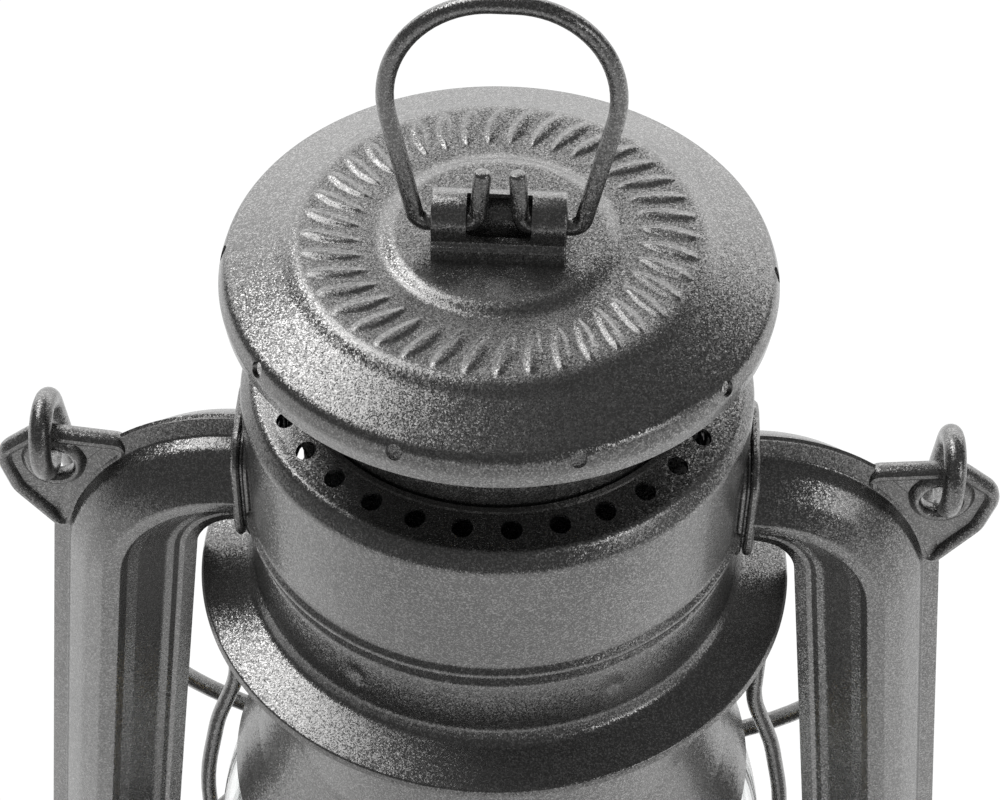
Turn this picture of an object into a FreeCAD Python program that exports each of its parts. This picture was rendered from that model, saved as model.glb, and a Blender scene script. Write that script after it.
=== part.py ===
import FreeCAD, Part
import math
import os

import Sketcher

# A small tubular storm lantern.  Millimetres, +Z up, origin at the centre of the base.
# The two air tubes stand at -X and +X, the wick knob and the front face -Y.
# Hot gas rises through the sprung chimney; side tubes lead fresh air down to the burner.

SIZES = {
    # pressed sheet and wire
    "gauge": 0.7,
    "running_gap": 0.3,
    "fit_gap": 0.05,
    # tank
    "tank_radius": 57.5,
    "tank_seam_height": 24.0,
    "tank_shoulder_height": 35.0,
    "tank_top_height": 48.0,
    "foot_inner_radius": 49.0,
    "foot_outer_radius": 54.0,
    "foot_rise": 2.5,
    "burner_hole_radius": 16.0,
    # filler
    "filler_distance": 47.0,
    "filler_angle": -50.0,
    "filler_radius": 7.0,
    "filler_top": 56.0,
    "filler_cap_radius": 9.5,
    "filler_cap_bottom": 50.5,
    "filler_cap_top": 60.0,
    "filler_grips": 18,
    # air chamber and burner
    "chamber_radius": 36.0,
    "chamber_top": 82.0,
    "burner_radius": 15.5,
    "burner_top": 90.0,
    "dome_top": 103.0,
    "wick_width": 12.0,
    "wick_thickness": 2.0,
    "wick_top": 99.0,
    "wick_bottom": 10.0,
    "wick_tube_top": 98.0,
    "shaft_height": 84.3,
    "shaft_radius": 1.0,
    "wheel_radius": 2.9,
    "knob_distance": 50.0,
    "knob_radius": 7.0,
    # globe and its carrier
    "plate_height": 86.5,
    "plate_radius": 34.0,
    "plate_hole_radius": 18.0,
    "plate_vents": 24,
    "globe_bottom": 88.0,
    "globe_foot_radius": 28.5,
    "globe_radius": 41.0,
    "globe_neck_radius": 27.5,
    "globe_neck_height": 162.0,
    "globe_top": 170.0,
    "glass": 1.6,
    "carrier_wire": 1.2,
    "hoop_radius": 32.1,
    "hoop_height": 190.0,
    "carrier_angle": 11.7,
    "guard_wire": 1.0,
    "guard_height": 112.0,
    # lift lever
    "lever_arm": 13.5,
    "lever_pivot_reach": 44.0,
    "lever_side": -12.5,
    "lever_height": 85.5,
    # side tubes
    "duct_height": 213.6,
    "duct_start": 34.0,
    "upper_corner": 48.96,
    "lower_corner": 66.4,
    "foot_duct_height": 66.0,
    "foot_duct_end": 37.6,
    "upper_bend": 16.0,
    "lower_bend": 18.0,
    "tube_half_width": 9.75,
    "tube_depth": 7.6,
    "crest_offset": -0.85,
    "flange_width": 2.3,
    # hood
    "hood_radius": 32.5,
    "hood_vent_inner": 26.0,
    "hood_vent_outer": 29.6,
    "hood_vent_count": 30,
    "hood_vent_circle": 27.9,
    "hood_vent_hole": 1.3,
    "hood_top": 234.6,
    "hood_seam": 212.0,
    "skirt_crease": 200.0,
    "skirt_radius": 39.8,
    "skirt_edge": 198.2,
    # chimney
    "chimney_radius": 25.0,
    "chimney_bottom": 179.5,
    "chimney_top": 247.0,
    "bell_top": 195.5,
    "bell_neck_radius": 29.0,
    "bell_crease": 174.0,
    "bell_crease_radius": 30.8,
    "bell_edge": 163.3,
    "bell_edge_radius": 34.0,
    "bell_rim": 155.0,
    "bell_rim_radius": 37.7,
    "spring_wire": 0.55,
    "spring_radius": 27.4,
    "spring_bottom": 203.0,
    "spring_top": 231.0,
    "spring_turns": 4.5,
    # cap
    "cap_top": 257.0,
    "cap_radius": 34.0,
    "cap_shoulder": 252.0,
    "cap_edge": 248.3,
    "cap_edge_radius": 33.7,
    "cap_crease_outer": 25.5,
    "cap_crease_inner": 13.5,
    "cap_vent_count": 10,
    # ring and bracket
    "ring_wire": 1.07,
    "ring_axis_height": 260.6,
    "ring_axis_forward": -3.0,
    "ring_lean": 8.0,
    "ring_top": 29.0,
    "bracket_half_width": 8.0,
    "bracket_window": 3.6,
    # bail and its ears
    "ear_reach": 58.9,
    "ear_hole_height": 213.6,
    "ear_hole": 2.5,
    "ear_thickness": 1.6,
    "bail_wire": 1.45,
    "bail_eye": 4.7,
    "bail_length": 127.5,
    "bail_corner": 55.0,
    "bail_lean": 17.0,
}

doc = FreeCAD.newDocument("storm_lantern")
sheet = doc.addObject("Spreadsheet::Sheet", "Dims")


def fill_sheet():
    for row, (name, number) in enumerate(SIZES.items(), start=1):
        sheet.set(f"A{row}", name)
        sheet.set(f"B{row}", str(number))
        sheet.setAlias(f"B{row}", name)
    doc.recompute()


class Size:
    """A number together with the sheet formula that gives it."""

    def __init__(self, value, formula):
        self.value = value
        self.formula = formula

    def join(self, other, sign, value):
        return Size(value, f"({self.formula} {sign} {size(other).formula})")

    def __add__(self, other):
        return self.join(other, "+", self.value + size(other).value)

    def __sub__(self, other):
        return self.join(other, "-", self.value - size(other).value)

    def __mul__(self, other):
        return self.join(other, "*", self.value * size(other).value)

    def __neg__(self):
        return Size(-self.value, f"(-1 * {self.formula})")


def size(number):
    if isinstance(number, Size):
        return number
    return Size(float(number), str(float(number)))


def dim(name):
    """A driving dimension, as a Size bound to its cell."""
    return Size(float(sheet.get(name)), f"Dims.{name}")


def mm(name):
    """A driving dimension, as a plain number."""
    return float(sheet.get(name))


def bind(thing, path, number):
    """Sets a property, or a sketch constraint, from a Size."""
    if "Dims" in size(number).formula:
        thing.setExpression(path, size(number).formula)


# ---------------------------------------------------------------- sketches


def new_body(label):
    body = doc.addObject("PartDesign::Body", label)
    body.Label = label
    return body


def new_sketch(body, name, role, offset=None):
    """A sketch on one of the body's own origin planes, moved along its normal by offset."""
    sketch = body.newObject("Sketcher::SketchObject", name)
    plane = next(f for f in body.Origin.OriginFeatures if f.Role == role)
    sketch.AttachmentSupport = [(plane, "")]
    sketch.MapMode = "FlatFace"
    if offset is not None:
        sketch.AttachmentOffset = FreeCAD.Placement(
            FreeCAD.Vector(0, 0, size(offset).value), FreeCAD.Rotation()
        )
        bind(sketch, "AttachmentOffset.Base.z", offset)
    return sketch


def place(sketch, geometry, point, across, up):
    """Holds one point of a sketch at (across, up) from the origin."""
    for kind, number in (("DistanceX", size(across)), ("DistanceY", size(up))):
        index = sketch.addConstraint(
            Sketcher.Constraint(kind, -1, 1, geometry, point, number.value)
        )
        bind(sketch, f"Constraints[{index}]", number)


def corner_arc(before, corner, after, radius):
    """The two tangent points and the middle of the arc that rounds a corner."""
    back = (before - corner).normalize()
    on = (after - corner).normalize()
    half = back.getAngle(on) / 2
    reach = radius / math.tan(half)
    bisector = (back + on).normalize()
    centre = corner + bisector * (radius / math.sin(half))
    return corner + back * reach, centre - bisector * radius, corner + on * reach


def draw(sketch, corners, closed=True):
    """Lines from corner to corner.  A corner is (across, up) or (across, up, radius)."""
    count = len(corners)
    spots = [FreeCAD.Vector(size(c[0]).value, size(c[1]).value, 0) for c in corners]
    rounded = [len(c) > 2 and (closed or 0 < i < count - 1) for i, c in enumerate(corners)]
    arcs = {}
    for i in range(count):
        if rounded[i]:
            radius = size(corners[i][2]).value
            arcs[i] = corner_arc(spots[i - 1], spots[i], spots[(i + 1) % count], radius)
    lines = []
    for i in range(count if closed else count - 1):
        j = (i + 1) % count
        start = arcs[i][2] if rounded[i] else spots[i]
        end = arcs[j][0] if rounded[j] else spots[j]
        lines.append(sketch.addGeometry(Part.LineSegment(start, end), False))
    for i in range(count):
        before = lines[i - 1] if closed or i else None
        after = lines[i] if i < len(lines) else None
        if rounded[i]:
            round_corner(sketch, arcs[i], before, after, corners[i])
        else:
            if before is not None and after is not None:
                sketch.addConstraint(Sketcher.Constraint("Coincident", before, 2, after, 1))
            if after is not None:
                place(sketch, after, 1, *corners[i][:2])
            else:
                place(sketch, before, 2, *corners[i][:2])
    return sketch


def round_corner(sketch, arc, before, after, corner):
    """Adds a tangent arc, with the sharp corner kept as a construction point."""
    curve = sketch.addGeometry(Part.Arc(*arc), False)
    centre = sketch.Geometry[curve].Center
    turn = (arc[0] - centre).cross(arc[2] - centre).z
    first, last = (1, 2) if turn > 0 else (2, 1)
    spot = sketch.addGeometry(
        Part.Point(FreeCAD.Vector(size(corner[0]).value, size(corner[1]).value, 0)), True
    )
    place(sketch, spot, 1, corner[0], corner[1])
    sketch.addConstraint(Sketcher.Constraint("PointOnObject", spot, 1, before))
    sketch.addConstraint(Sketcher.Constraint("PointOnObject", spot, 1, after))
    sketch.addConstraint(Sketcher.Constraint("Tangent", before, 2, curve, first))
    sketch.addConstraint(Sketcher.Constraint("Tangent", curve, last, after, 1))
    radius = size(corner[2])
    index = sketch.addConstraint(Sketcher.Constraint("Radius", curve, radius.value))
    bind(sketch, f"Constraints[{index}]", radius)


def circle(sketch, across, up, radius):
    number = size(radius)
    spot = FreeCAD.Vector(size(across).value, size(up).value, 0)
    ring = sketch.addGeometry(Part.Circle(spot, FreeCAD.Vector(0, 0, 1), number.value), False)
    place(sketch, ring, 3, across, up)
    index = sketch.addConstraint(Sketcher.Constraint("Radius", ring, number.value))
    bind(sketch, f"Constraints[{index}]", number)
    return sketch


def box_corners(left, right, low, high):
    return [(left, low), (right, low), (right, high), (left, high)]


# ---------------------------------------------------------------- features


def turn_profile(body, name, corners):
    """Revolves an outline of (radius, height) corners about the body's Z axis."""
    sketch = draw(new_sketch(body, name + "_outline", "XZ_Plane"), corners)
    solid = body.newObject("PartDesign::Revolution", name)
    solid.Profile = sketch
    solid.ReferenceAxis = (sketch, ["V_Axis"])
    solid.Angle = 360
    return solid


def turned(label, corners):
    body = new_body(label)
    turn_profile(body, label + "_turn", corners)
    doc.recompute()
    return body


def pressed(skin):
    """Both sides of a sheet.  Each skin point is (radius, height, in, down[, round])."""
    outer = [(p[0], p[1], *p[4:]) for p in skin]
    inner = [(size(p[0]) - dim("gauge") * p[2], size(p[1]) - dim("gauge") * p[3]) for p in skin]
    return outer + inner[::-1]


def pad(body, sketch, length, midplane=False):
    solid = body.newObject("PartDesign::Pad", sketch.Name + "_pad")
    solid.Profile = sketch
    solid.Length = size(length).value
    bind(solid, "Length", length)
    solid.Midplane = midplane
    doc.recompute()
    return solid


def cut(body, sketch, length, midplane=False):
    """Pockets a sketch, on both sides of its plane or upwards from it, and proves that it cut."""
    before = body.Shape.Volume
    pocket = body.newObject("PartDesign::Pocket", sketch.Name + "_cut")
    pocket.Profile = sketch
    pocket.Length = size(length).value
    bind(pocket, "Length", length)
    pocket.Midplane = midplane
    pocket.Reversed = not midplane
    doc.recompute()
    if body.Shape.Volume > before - 1e-3:
        raise RuntimeError(f"{pocket.Name} cut nothing from {body.Label}")
    return pocket


def repeat(body, feature, sketch, count):
    """Repeats a feature round the Z axis of a sketch on the XY plane."""
    before = body.Shape.Volume
    pattern = body.newObject("PartDesign::PolarPattern", feature.Name + "_round")
    pattern.Originals = [feature]
    pattern.Axis = (sketch, ["N_Axis"])
    pattern.Angle = 360
    pattern.Occurrences = int(size(count).value)
    bind(pattern, "Occurrences", count)
    body.Tip = pattern
    doc.recompute()
    if abs(body.Shape.Volume - before) < 1e-3:
        raise RuntimeError(f"{pattern.Name} changed nothing on {body.Label}")
    return pattern


def duct_corners(half_height, half_depth, radius, centre):
    """The rounded outline of a duct, as (Y, Z) corners about a height."""
    low = centre - half_height
    high = centre + half_height
    box = box_corners(-half_depth, half_depth, low, high)
    return [(across, up, radius) for across, up in box]


# ---------------------------------------------------------------- tank and filler


def filler_place():
    turn = FreeCAD.Rotation(FreeCAD.Vector(0, 0, 1), mm("filler_angle"))
    spot = turn.multVec(FreeCAD.Vector(mm("filler_distance"), 0, 0))
    return FreeCAD.Placement(spot, turn)


def tank_bottom():
    skin = [
        (0, dim("foot_rise"), 0, -1),
        (dim("foot_inner_radius") - 1.5, dim("foot_rise"), 0, -1),
        (dim("foot_inner_radius"), 0, -0.3, -1),
        (dim("foot_outer_radius"), 0, 0.3, -1),
        (dim("tank_radius"), 4, 1, -0.5),
        (dim("tank_radius"), dim("tank_seam_height"), 1, 0),
    ]
    return turned("tank_bottom", pressed(skin))


def tank_top():
    seam = dim("tank_seam_height")
    skin = [
        (dim("tank_radius") + 0.9, seam, 0, 0),
        (dim("tank_radius") + 0.9, seam + 3, 0, 0),
        (dim("tank_radius"), seam + 4, 0, 0),
        (dim("tank_radius"), dim("tank_shoulder_height"), 0, 0, 6),
        (dim("chamber_radius") + 4, dim("tank_top_height"), 0, 0, 8),
        (dim("burner_hole_radius"), dim("tank_top_height"), 0, 0),
        (dim("burner_hole_radius"), dim("tank_top_height") - dim("gauge"), 0, 0),
        (dim("chamber_radius") + 3.6, dim("tank_top_height") - dim("gauge"), 0, 0, 7.4),
        (dim("tank_radius") - dim("gauge"), dim("tank_shoulder_height") - 0.3, 0, 0, 5.4),
        (dim("tank_radius") - dim("gauge"), seam, 0, 0),
    ]
    body = turned("tank_top", [(p[0], p[1], *p[4:]) for p in skin])
    hole = new_sketch(body, "filler_hole", "XY_Plane", dim("tank_shoulder_height"))
    spot = filler_place().Base
    circle(hole, spot.x, spot.y, dim("filler_radius") + dim("fit_gap"))
    cut(body, hole, dim("tank_top_height"))
    return body


def filler_neck():
    radius = dim("filler_radius")
    low = dim("tank_shoulder_height") + 3
    body = turned(
        "filler_neck", box_corners(radius - 0.8, radius, low, dim("filler_top"))
    )
    body.Placement = filler_place()
    return body


def filler_gasket():
    radius = dim("filler_radius")
    low = dim("filler_top")
    body = turned("filler_gasket", box_corners(radius - 1.5, radius + 0.7, low, low + 1.2))
    body.Placement = filler_place()
    return body


def filler_cap():
    radius = dim("filler_cap_radius")
    bore = dim("filler_radius") + 0.8
    seat = dim("filler_top") + 1.2
    corners = [
        (0, seat),
        (bore, seat),
        (bore, dim("filler_cap_bottom")),
        (radius, dim("filler_cap_bottom")),
        (radius, dim("filler_cap_top"), 1.2),
        (5, dim("filler_cap_top"), 1),
        (4, dim("filler_cap_top") - 0.8),
        (0, dim("filler_cap_top") - 0.8),
    ]
    body = turned("filler_cap", corners)
    grip = new_sketch(body, "grip_groove", "XY_Plane", dim("filler_cap_bottom"))
    circle(grip, radius + 0.5, 0, 1.0)
    groove = cut(body, grip, dim("filler_cap_top") - dim("filler_cap_bottom"))
    repeat(body, groove, grip, dim("filler_grips"))
    body.Placement = filler_place()
    return body


# ---------------------------------------------------------------- air chamber and burner


def air_chamber():
    radius = dim("chamber_radius")
    skin = [
        (radius + 2, dim("tank_top_height"), 0, -1),
        (radius, dim("tank_top_height") + 1.5, 1, -0.5),
        (radius, dim("chamber_top") - 5, 1, 0.3),
        (radius - 7, dim("chamber_top"), 0.3, 1),
        (dim("burner_radius") + 1.6, dim("chamber_top"), 0, 1),
    ]
    body = turned("air_chamber", pressed(skin))
    mouth = new_sketch(body, "duct_mouths", "YZ_Plane")
    draw(
        mouth,
        duct_corners(
            dim("tube_half_width") - dim("flange_width") - 0.7,
            dim("tube_depth") - 1.4,
            3,
            dim("foot_duct_height"),
        ),
    )
    cut(body, mouth, dim("chamber_radius") * 3, midplane=True)
    return body


def burner_body():
    radius = dim("burner_radius")
    wall = 0.6
    top = dim("tank_top_height")
    half = dim("wick_thickness") * 0.5 + 0.9
    corners = [
        (half + 2.6, top - 4),
        (radius + 0.3, top - 4),
        (radius + 0.3, top),
        (radius + 3, top),
        (radius + 3, top + 1.6),
        (radius, top + 1.6),
        (radius, dim("burner_top")),
        (radius - wall, dim("burner_top")),
        (radius - wall, top + 1.6),
        (half + 2.6, top + 1.6),
    ]
    body = turned("burner_body", corners)
    hole = new_sketch(body, "shaft_hole", "XZ_Plane")
    circle(hole, dim("wheel_radius") + dim("wick_thickness") * 0.5, dim("shaft_height"), 1.3)
    before = body.Shape.Volume
    pocket = body.newObject("PartDesign::Pocket", "shaft_hole_cut")
    pocket.Profile = hole
    pocket.Length = mm("burner_radius") * 3
    pocket.Midplane = True
    slot = new_sketch(body, "wick_slot", "XY_Plane", top - 5)
    doc.recompute()
    if body.Shape.Volume > before - 1e-3:
        raise RuntimeError("the shaft hole cut nothing")
    room = dim("wick_width") * 0.5 + 1.4
    draw(slot, box_corners(-half, half, -room, room))
    cut(body, slot, 10)
    return body


def burner_dome():
    radius = dim("burner_radius")
    low = dim("burner_top")
    corners = [
        (radius + 0.9, low - 3),
        (radius + 0.9, low + 1),
        (radius - 2, low + 8, 5),
        (6, dim("dome_top"), 6),
        (0, dim("dome_top")),
        (0, dim("dome_top") - 0.6),
        (6, dim("dome_top") - 0.6, 5.4),
        (radius - 2.5, low + 7.6, 4.4),
        (radius + 0.2, low + 0.8),
        (radius + 0.2, low - 3),
    ]
    body = turned("burner_dome", corners)
    slot = new_sketch(body, "flame_slot", "XY_Plane", low + 7)
    room = dim("wick_width") * 0.5 + 1.5
    draw(slot, box_corners(-2.6, 2.6, -room, room))
    cut(body, slot, 12)
    vent = new_sketch(body, "dome_vent", "XY_Plane", low + 2)
    circle(vent, radius - 2.6, 0, 0.8)
    hole = cut(body, vent, 12)
    repeat(body, hole, vent, 16)
    return body


def wick_tube():
    body = new_body("wick_tube")
    room = dim("wick_width") * 0.5 + 0.3
    half = dim("wick_thickness") * 0.5 + 0.3
    outline = new_sketch(body, "wick_tube_section", "XY_Plane", dim("tank_top_height") - 6)
    draw(outline, box_corners(-half - 0.5, half + 0.5, -room - 0.5, room + 0.5))
    draw(outline, box_corners(-half, half, -room, room))
    pad(body, outline, dim("wick_tube_top") - dim("tank_top_height") + 6)
    windows = new_sketch(body, "wheel_windows", "YZ_Plane")
    for side in (-1, 1):
        middle = side * 3.0
        low = dim("shaft_height") - dim("wheel_radius") - 0.6
        high = dim("shaft_height") + dim("wheel_radius") + 0.6
        draw(windows, box_corners(middle - 1.1, middle + 1.1, low, high))
    before = body.Shape.Volume
    pocket = body.newObject("PartDesign::Pocket", "wheel_windows_cut")
    pocket.Profile = windows
    pocket.Length = 4
    pocket.Reversed = True
    doc.recompute()
    if body.Shape.Volume > before - 1e-3:
        raise RuntimeError("the wheel windows cut nothing")
    return body


def wick():
    body = new_body("wick")
    outline = new_sketch(body, "wick_section", "XY_Plane", dim("wick_bottom"))
    half = dim("wick_thickness") * 0.5
    room = dim("wick_width") * 0.5
    draw(outline, box_corners(-half, half, -room, room))
    pad(body, outline, dim("wick_top") - dim("wick_bottom"))
    return body


def shaft_place():
    """The wick shaft lies along Y, beside the wick; its pieces are turned about Z and laid over."""
    across = mm("wheel_radius") + mm("wick_thickness") / 2 + 0.05
    lay = FreeCAD.Rotation(FreeCAD.Vector(1, 0, 0), 90)
    return FreeCAD.Placement(FreeCAD.Vector(across, 0, mm("shaft_height")), lay)


def wick_shaft():
    rod = box_corners(0, dim("shaft_radius"), -6, dim("knob_distance") + 1)
    body = turned("wick_shaft", rod)
    body.Placement = shaft_place()
    return body


def wick_wheels():
    """Two toothed wheels on the shaft, which grip the wick through the tube's windows."""
    bore = mm("shaft_radius")
    radius = mm("wheel_radius")
    solids = []
    for middle in (-3.0, 3.0):
        disc = Part.makeCylinder(radius, 1.0, FreeCAD.Vector(0, 0, middle - 0.5))
        disc = disc.cut(Part.makeCylinder(bore, 1.0, FreeCAD.Vector(0, 0, middle - 0.5)))
        for tooth in range(12):
            turn = math.radians(30 * tooth + 15)
            notch = FreeCAD.Vector(radius * math.cos(turn), radius * math.sin(turn), middle - 0.5)
            disc = disc.cut(Part.makeCylinder(0.45, 1.0, notch))
        solids.append(disc)
    wheels = doc.addObject("Part::Feature", "wick_wheels")
    wheels.Shape = Part.makeCompound(solids)
    wheels.Placement = shaft_place()
    return wheels


def wick_knob():
    reach = dim("knob_distance")
    corners = [
        (dim("shaft_radius"), reach - 1.5),
        (3, reach - 1.5),
        (3, reach),
        (dim("knob_radius"), reach, 0.6),
        (dim("knob_radius"), reach + 2.2, 0.6),
        (3, reach + 2.2),
        (0, reach + 1.8),
        (0, reach + 1),
        (dim("shaft_radius"), reach + 1),
    ]
    body = turned("wick_knob", corners)
    grip = new_sketch(body, "knob_groove", "XY_Plane", reach - 1)
    circle(grip, dim("knob_radius") + 0.25, 0, 0.55)
    groove = cut(body, grip, 4)
    repeat(body, groove, grip, 24)
    body.Placement = shaft_place()
    return body


# ---------------------------------------------------------------- wires


def rounded_path(corners):
    """One wire of straight runs and tangent arcs.  A corner is (x, y, z) or (x, y, z, radius)."""
    spots = [FreeCAD.Vector(*c[:3]) for c in corners]
    edges = []
    start = spots[0]
    for i in range(1, len(spots) - 1):
        first, middle, last = corner_arc(spots[i - 1], spots[i], spots[i + 1], corners[i][3])
        edges.append(Part.LineSegment(start, first).toShape())
        edges.append(Part.Arc(first, middle, last).toShape())
        start = last
    edges.append(Part.LineSegment(start, spots[-1]).toShape())
    return Part.Wire(edges)


def swept(label, path, radius):
    """A round wire bent along a path."""
    start = path.Edges[0]
    origin = start.valueAt(start.FirstParameter)
    heading = start.tangentAt(start.FirstParameter)
    section = Part.Wire(Part.makeCircle(radius, origin, heading))
    wire = doc.addObject("Part::Feature", label)
    wire.Label = label
    wire.Shape = path.makePipeShell([section], True, False)
    return wire


def mirrored(corners):
    """The corners of a left half, followed by their mirror images in the YZ plane."""
    return corners + [(-c[0], *c[1:]) for c in corners[::-1]]


# ---------------------------------------------------------------- globe and carrier


def globe_plate():
    low = dim("plate_height")
    rim = dim("plate_radius")
    skin = [
        (dim("plate_hole_radius"), low + 2, -1, 0),
        (dim("plate_hole_radius"), low, -1, 1),
        (rim - 6, low, 0, 1),
        (rim - 4.6, low + 1.2, 0, 1),
        (rim, low + 1.2, 0, 1),
    ]
    lifted = [(p[0], size(p[1]) + dim("gauge"), p[2], p[3]) for p in skin]
    body = turned("globe_plate", pressed(lifted))
    vent = new_sketch(body, "plate_vent", "XY_Plane", low - 1)
    circle(vent, dim("plate_hole_radius") + 5, 0, 1.2)
    hole = cut(body, vent, 6)
    repeat(body, hole, vent, dim("plate_vents"))
    return body


def globe():
    wide = dim("globe_radius")
    glass = dim("glass")
    neck = dim("globe_neck_radius")
    foot = dim("globe_foot_radius")
    low = dim("globe_bottom")
    shoulder = dim("globe_neck_height")
    top = dim("globe_top")
    corners = [
        (foot, low),
        (wide, low + 21.3, 90),
        (wide, shoulder - 10.7, 31),
        (neck, shoulder, 3),
        (neck, top),
        (neck - glass, top),
        (neck - glass, shoulder - 0.8, 4.6),
        (wide - glass, shoulder - 11.5, 29.4),
        (wide - glass, low + 21.3, 88.4),
        (foot - glass, low),
    ]
    return turned("globe", corners)


def carrier_wire(label, side):
    """Runs from the globe plate's rim up beside the globe, clear of the bell, and in to the hoop."""
    half = mm("carrier_wire")
    foot = mm("plate_height") + 1.2 + mm("gauge") + half
    corners = [
        (mm("plate_radius") - 1.5, 0, foot, None),
        (mm("plate_radius") + 2.5, 0, foot, 3),
        (44.0, 0, 103.0, 24),
        (47.0, 0, 128.0, 60),
        (43.3, 0, 147.0, 40),
        (39.4, 0, 158.5, 20),
        (39.4, 0, 172.0, 8),
        (mm("hoop_radius"), 0, mm("hoop_height"), None),
    ]
    turn = mm("carrier_angle") if side > 0 else 180 - mm("carrier_angle")
    path = rounded_path(corners)
    path.rotate(FreeCAD.Vector(0, 0, 0), FreeCAD.Vector(0, 0, 1), turn)
    return swept(label, path, half)


def carrier_hoop():
    hoop = doc.addObject("Part::Torus", "carrier_hoop")
    hoop.setExpression("Radius1", "Dims.hoop_radius")
    hoop.setExpression("Radius2", "Dims.carrier_wire - 0.2")
    hoop.setExpression("Placement.Base.z", "Dims.hoop_height")
    return hoop


def globe_seat():
    """The ring inside the bell that bears on the globe's rim."""
    low = dim("globe_top")
    outer = dim("bell_crease_radius") - 0.5
    inner = dim("globe_neck_radius") - 1.6
    gauge = dim("gauge")
    corners = [
        (inner, low),
        (outer, low),
        (outer, low + 2.4),
        (outer - gauge, low + 2.4),
        (outer - gauge, low + gauge),
        (inner, low + gauge),
    ]
    return turned("globe_seat", corners)


def guard(label, side):
    """One of the two wires that cross before and behind the globe, from tube to tube."""
    high = mm("guard_height")
    left = [
        (-52.0, side * 1.6, high + 2, None),
        (-45.6, side * 17.0, high, 14),
        (-22.0, side * 42.4, high, 26),
    ]
    corners = mirrored(left)
    return swept(label, rounded_path(corners), mm("guard_wire"))


# ---------------------------------------------------------------- lift lever


def lever_place():
    lay = FreeCAD.Rotation(FreeCAD.Vector(1, 0, 0), 90)
    spot = FreeCAD.Vector(mm("lever_pivot_reach"), mm("lever_side"), mm("lever_height"))
    return FreeCAD.Placement(spot, lay)


def lift_lever():
    """A flat lever: its toe lies under the globe plate's rim, its tail is the finger tab."""
    body = new_body("lift_lever")
    outline = new_sketch(body, "lever_outline", "XY_Plane")
    arm = dim("lever_arm")
    toe = dim("plate_height") + 1.2 - dim("lever_height") - dim("fit_gap")
    corners = [
        (-arm, toe, 0.6),
        (-arm, -0.8, 1),
        (-7, -2.8, 3),
        (4, -3, 3),
        (16, 1, 6),
        (27, 2, 1.4),
        (27, 5.2, 1.4),
        (14, 4.6, 5),
        (3, 3, 3),
        (-5, 0.6, 3),
        (-arm + 4.5, toe, 0.6),
    ]
    draw(outline, corners)
    circle(outline, 0, 0, 1.25)
    pad(body, outline, 1.6, midplane=True)
    body.Placement = lever_place()
    return body


def lever_bracket():
    """A cheek riveted to the air chamber, with the pin that the lever turns on."""
    body = new_body("lever_bracket_blank")
    outline = new_sketch(body, "bracket_outline", "XY_Plane", 1.1)
    inner = mm("chamber_radius") - mm("lever_pivot_reach") - 5
    bottom = 64.0 - mm("lever_height")
    corners = [
        (inner, bottom),
        (inner + 8, bottom, 2),
        (3.2, -6, 4),
        (3.2, 3, 3),
        (-2.8, 3, 2),
        (-3.4, -8, 2),
        (inner, -14),
    ]
    draw(outline, corners)
    pad(body, outline, 1.2)
    pin = new_sketch(body, "pivot_pin", "XY_Plane", -1.6)
    circle(pin, 0, 0, 1.2)
    pad(body, pin, 2.8)
    body.Placement = lever_place()
    doc.recompute()
    chamber = Part.makeCylinder(mm("chamber_radius"), 60, FreeCAD.Vector(0, 0, 45))
    trimmed = doc.addObject("Part::Feature", "lever_bracket")
    trimmed.Shape = body.Shape.cut(chamber)
    return trimmed


# ---------------------------------------------------------------- side tubes


def tube_half(label, side, face):
    """One stamped half of an air tube.  side is -1 or 1 along X, face is -1 or 1 along Y."""
    body = new_body(label)
    path = new_sketch(body, label + "_path", "XZ_Plane")
    route = [
        (dim("duct_start") * side, dim("duct_height")),
        (dim("upper_corner") * side, dim("duct_height"), dim("upper_bend")),
        (dim("lower_corner") * side, dim("foot_duct_height"), dim("lower_bend")),
        (dim("foot_duct_end") * side, dim("foot_duct_height")),
    ]
    draw(path, route, closed=False)
    section = new_sketch(body, label + "_section", "YZ_Plane", dim("duct_start") * side)
    half = dim("tube_half_width")
    centre = dim("duct_height")
    outer = centre + half - dim("flange_width")
    inner = centre - half + dim("flange_width")
    gauge = dim("gauge")
    depth = dim("tube_depth")
    crest = centre + dim("crest_offset")
    corners = [
        (0, centre + half),
        (gauge * face, centre + half),
        (gauge * face, outer, 0.8),
        (depth * face, outer - 1.2, 2.6),
        (depth * face, crest, 0.9),
        ((depth - 2) * face, crest - 0.9),
        (gauge * face, inner),
        (gauge * face, centre - half),
        (0, centre - half),
        (0, inner + 0.22),
        ((depth - 2.46) * face, crest - 0.34),
        ((depth - gauge) * face, crest + 0.45),
        ((depth - gauge) * face, outer - 1.8, 1.9),
        (0, outer - 0.6),
    ]
    draw(section, corners)
    doc.recompute()
    pipe = body.newObject("PartDesign::AdditivePipe", label + "_pipe")
    pipe.Profile = section
    pipe.Spine = (path, [])
    doc.recompute()
    return body


def duct_collar(label, side, wall, end, height, margin, *around):
    """The flanged collar that holds a tube's end against a round wall, clear of what is around it."""
    body = new_body(label + "_blank")
    start = dim(wall) - 2
    low = start if side > 0 else -dim(end)
    base = new_sketch(body, label + "_plate", "YZ_Plane", low)
    draw(base, duct_corners(dim("tube_half_width") + margin, dim("tube_depth") + margin, 4, height))
    bore = dim("tube_half_width") - dim("flange_width") - 0.9
    draw(base, duct_corners(bore, dim("tube_depth") - 1.4, 2.5, height))
    pad(body, base, dim(end) - start)
    drum = Part.makeCylinder(mm(wall), 60, FreeCAD.Vector(0, 0, height.value - 30))
    collar = doc.addObject("Part::Feature", label)
    collar.Shape = body.Shape.cut([drum] + [piece.Shape for piece in around])
    return collar


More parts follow.
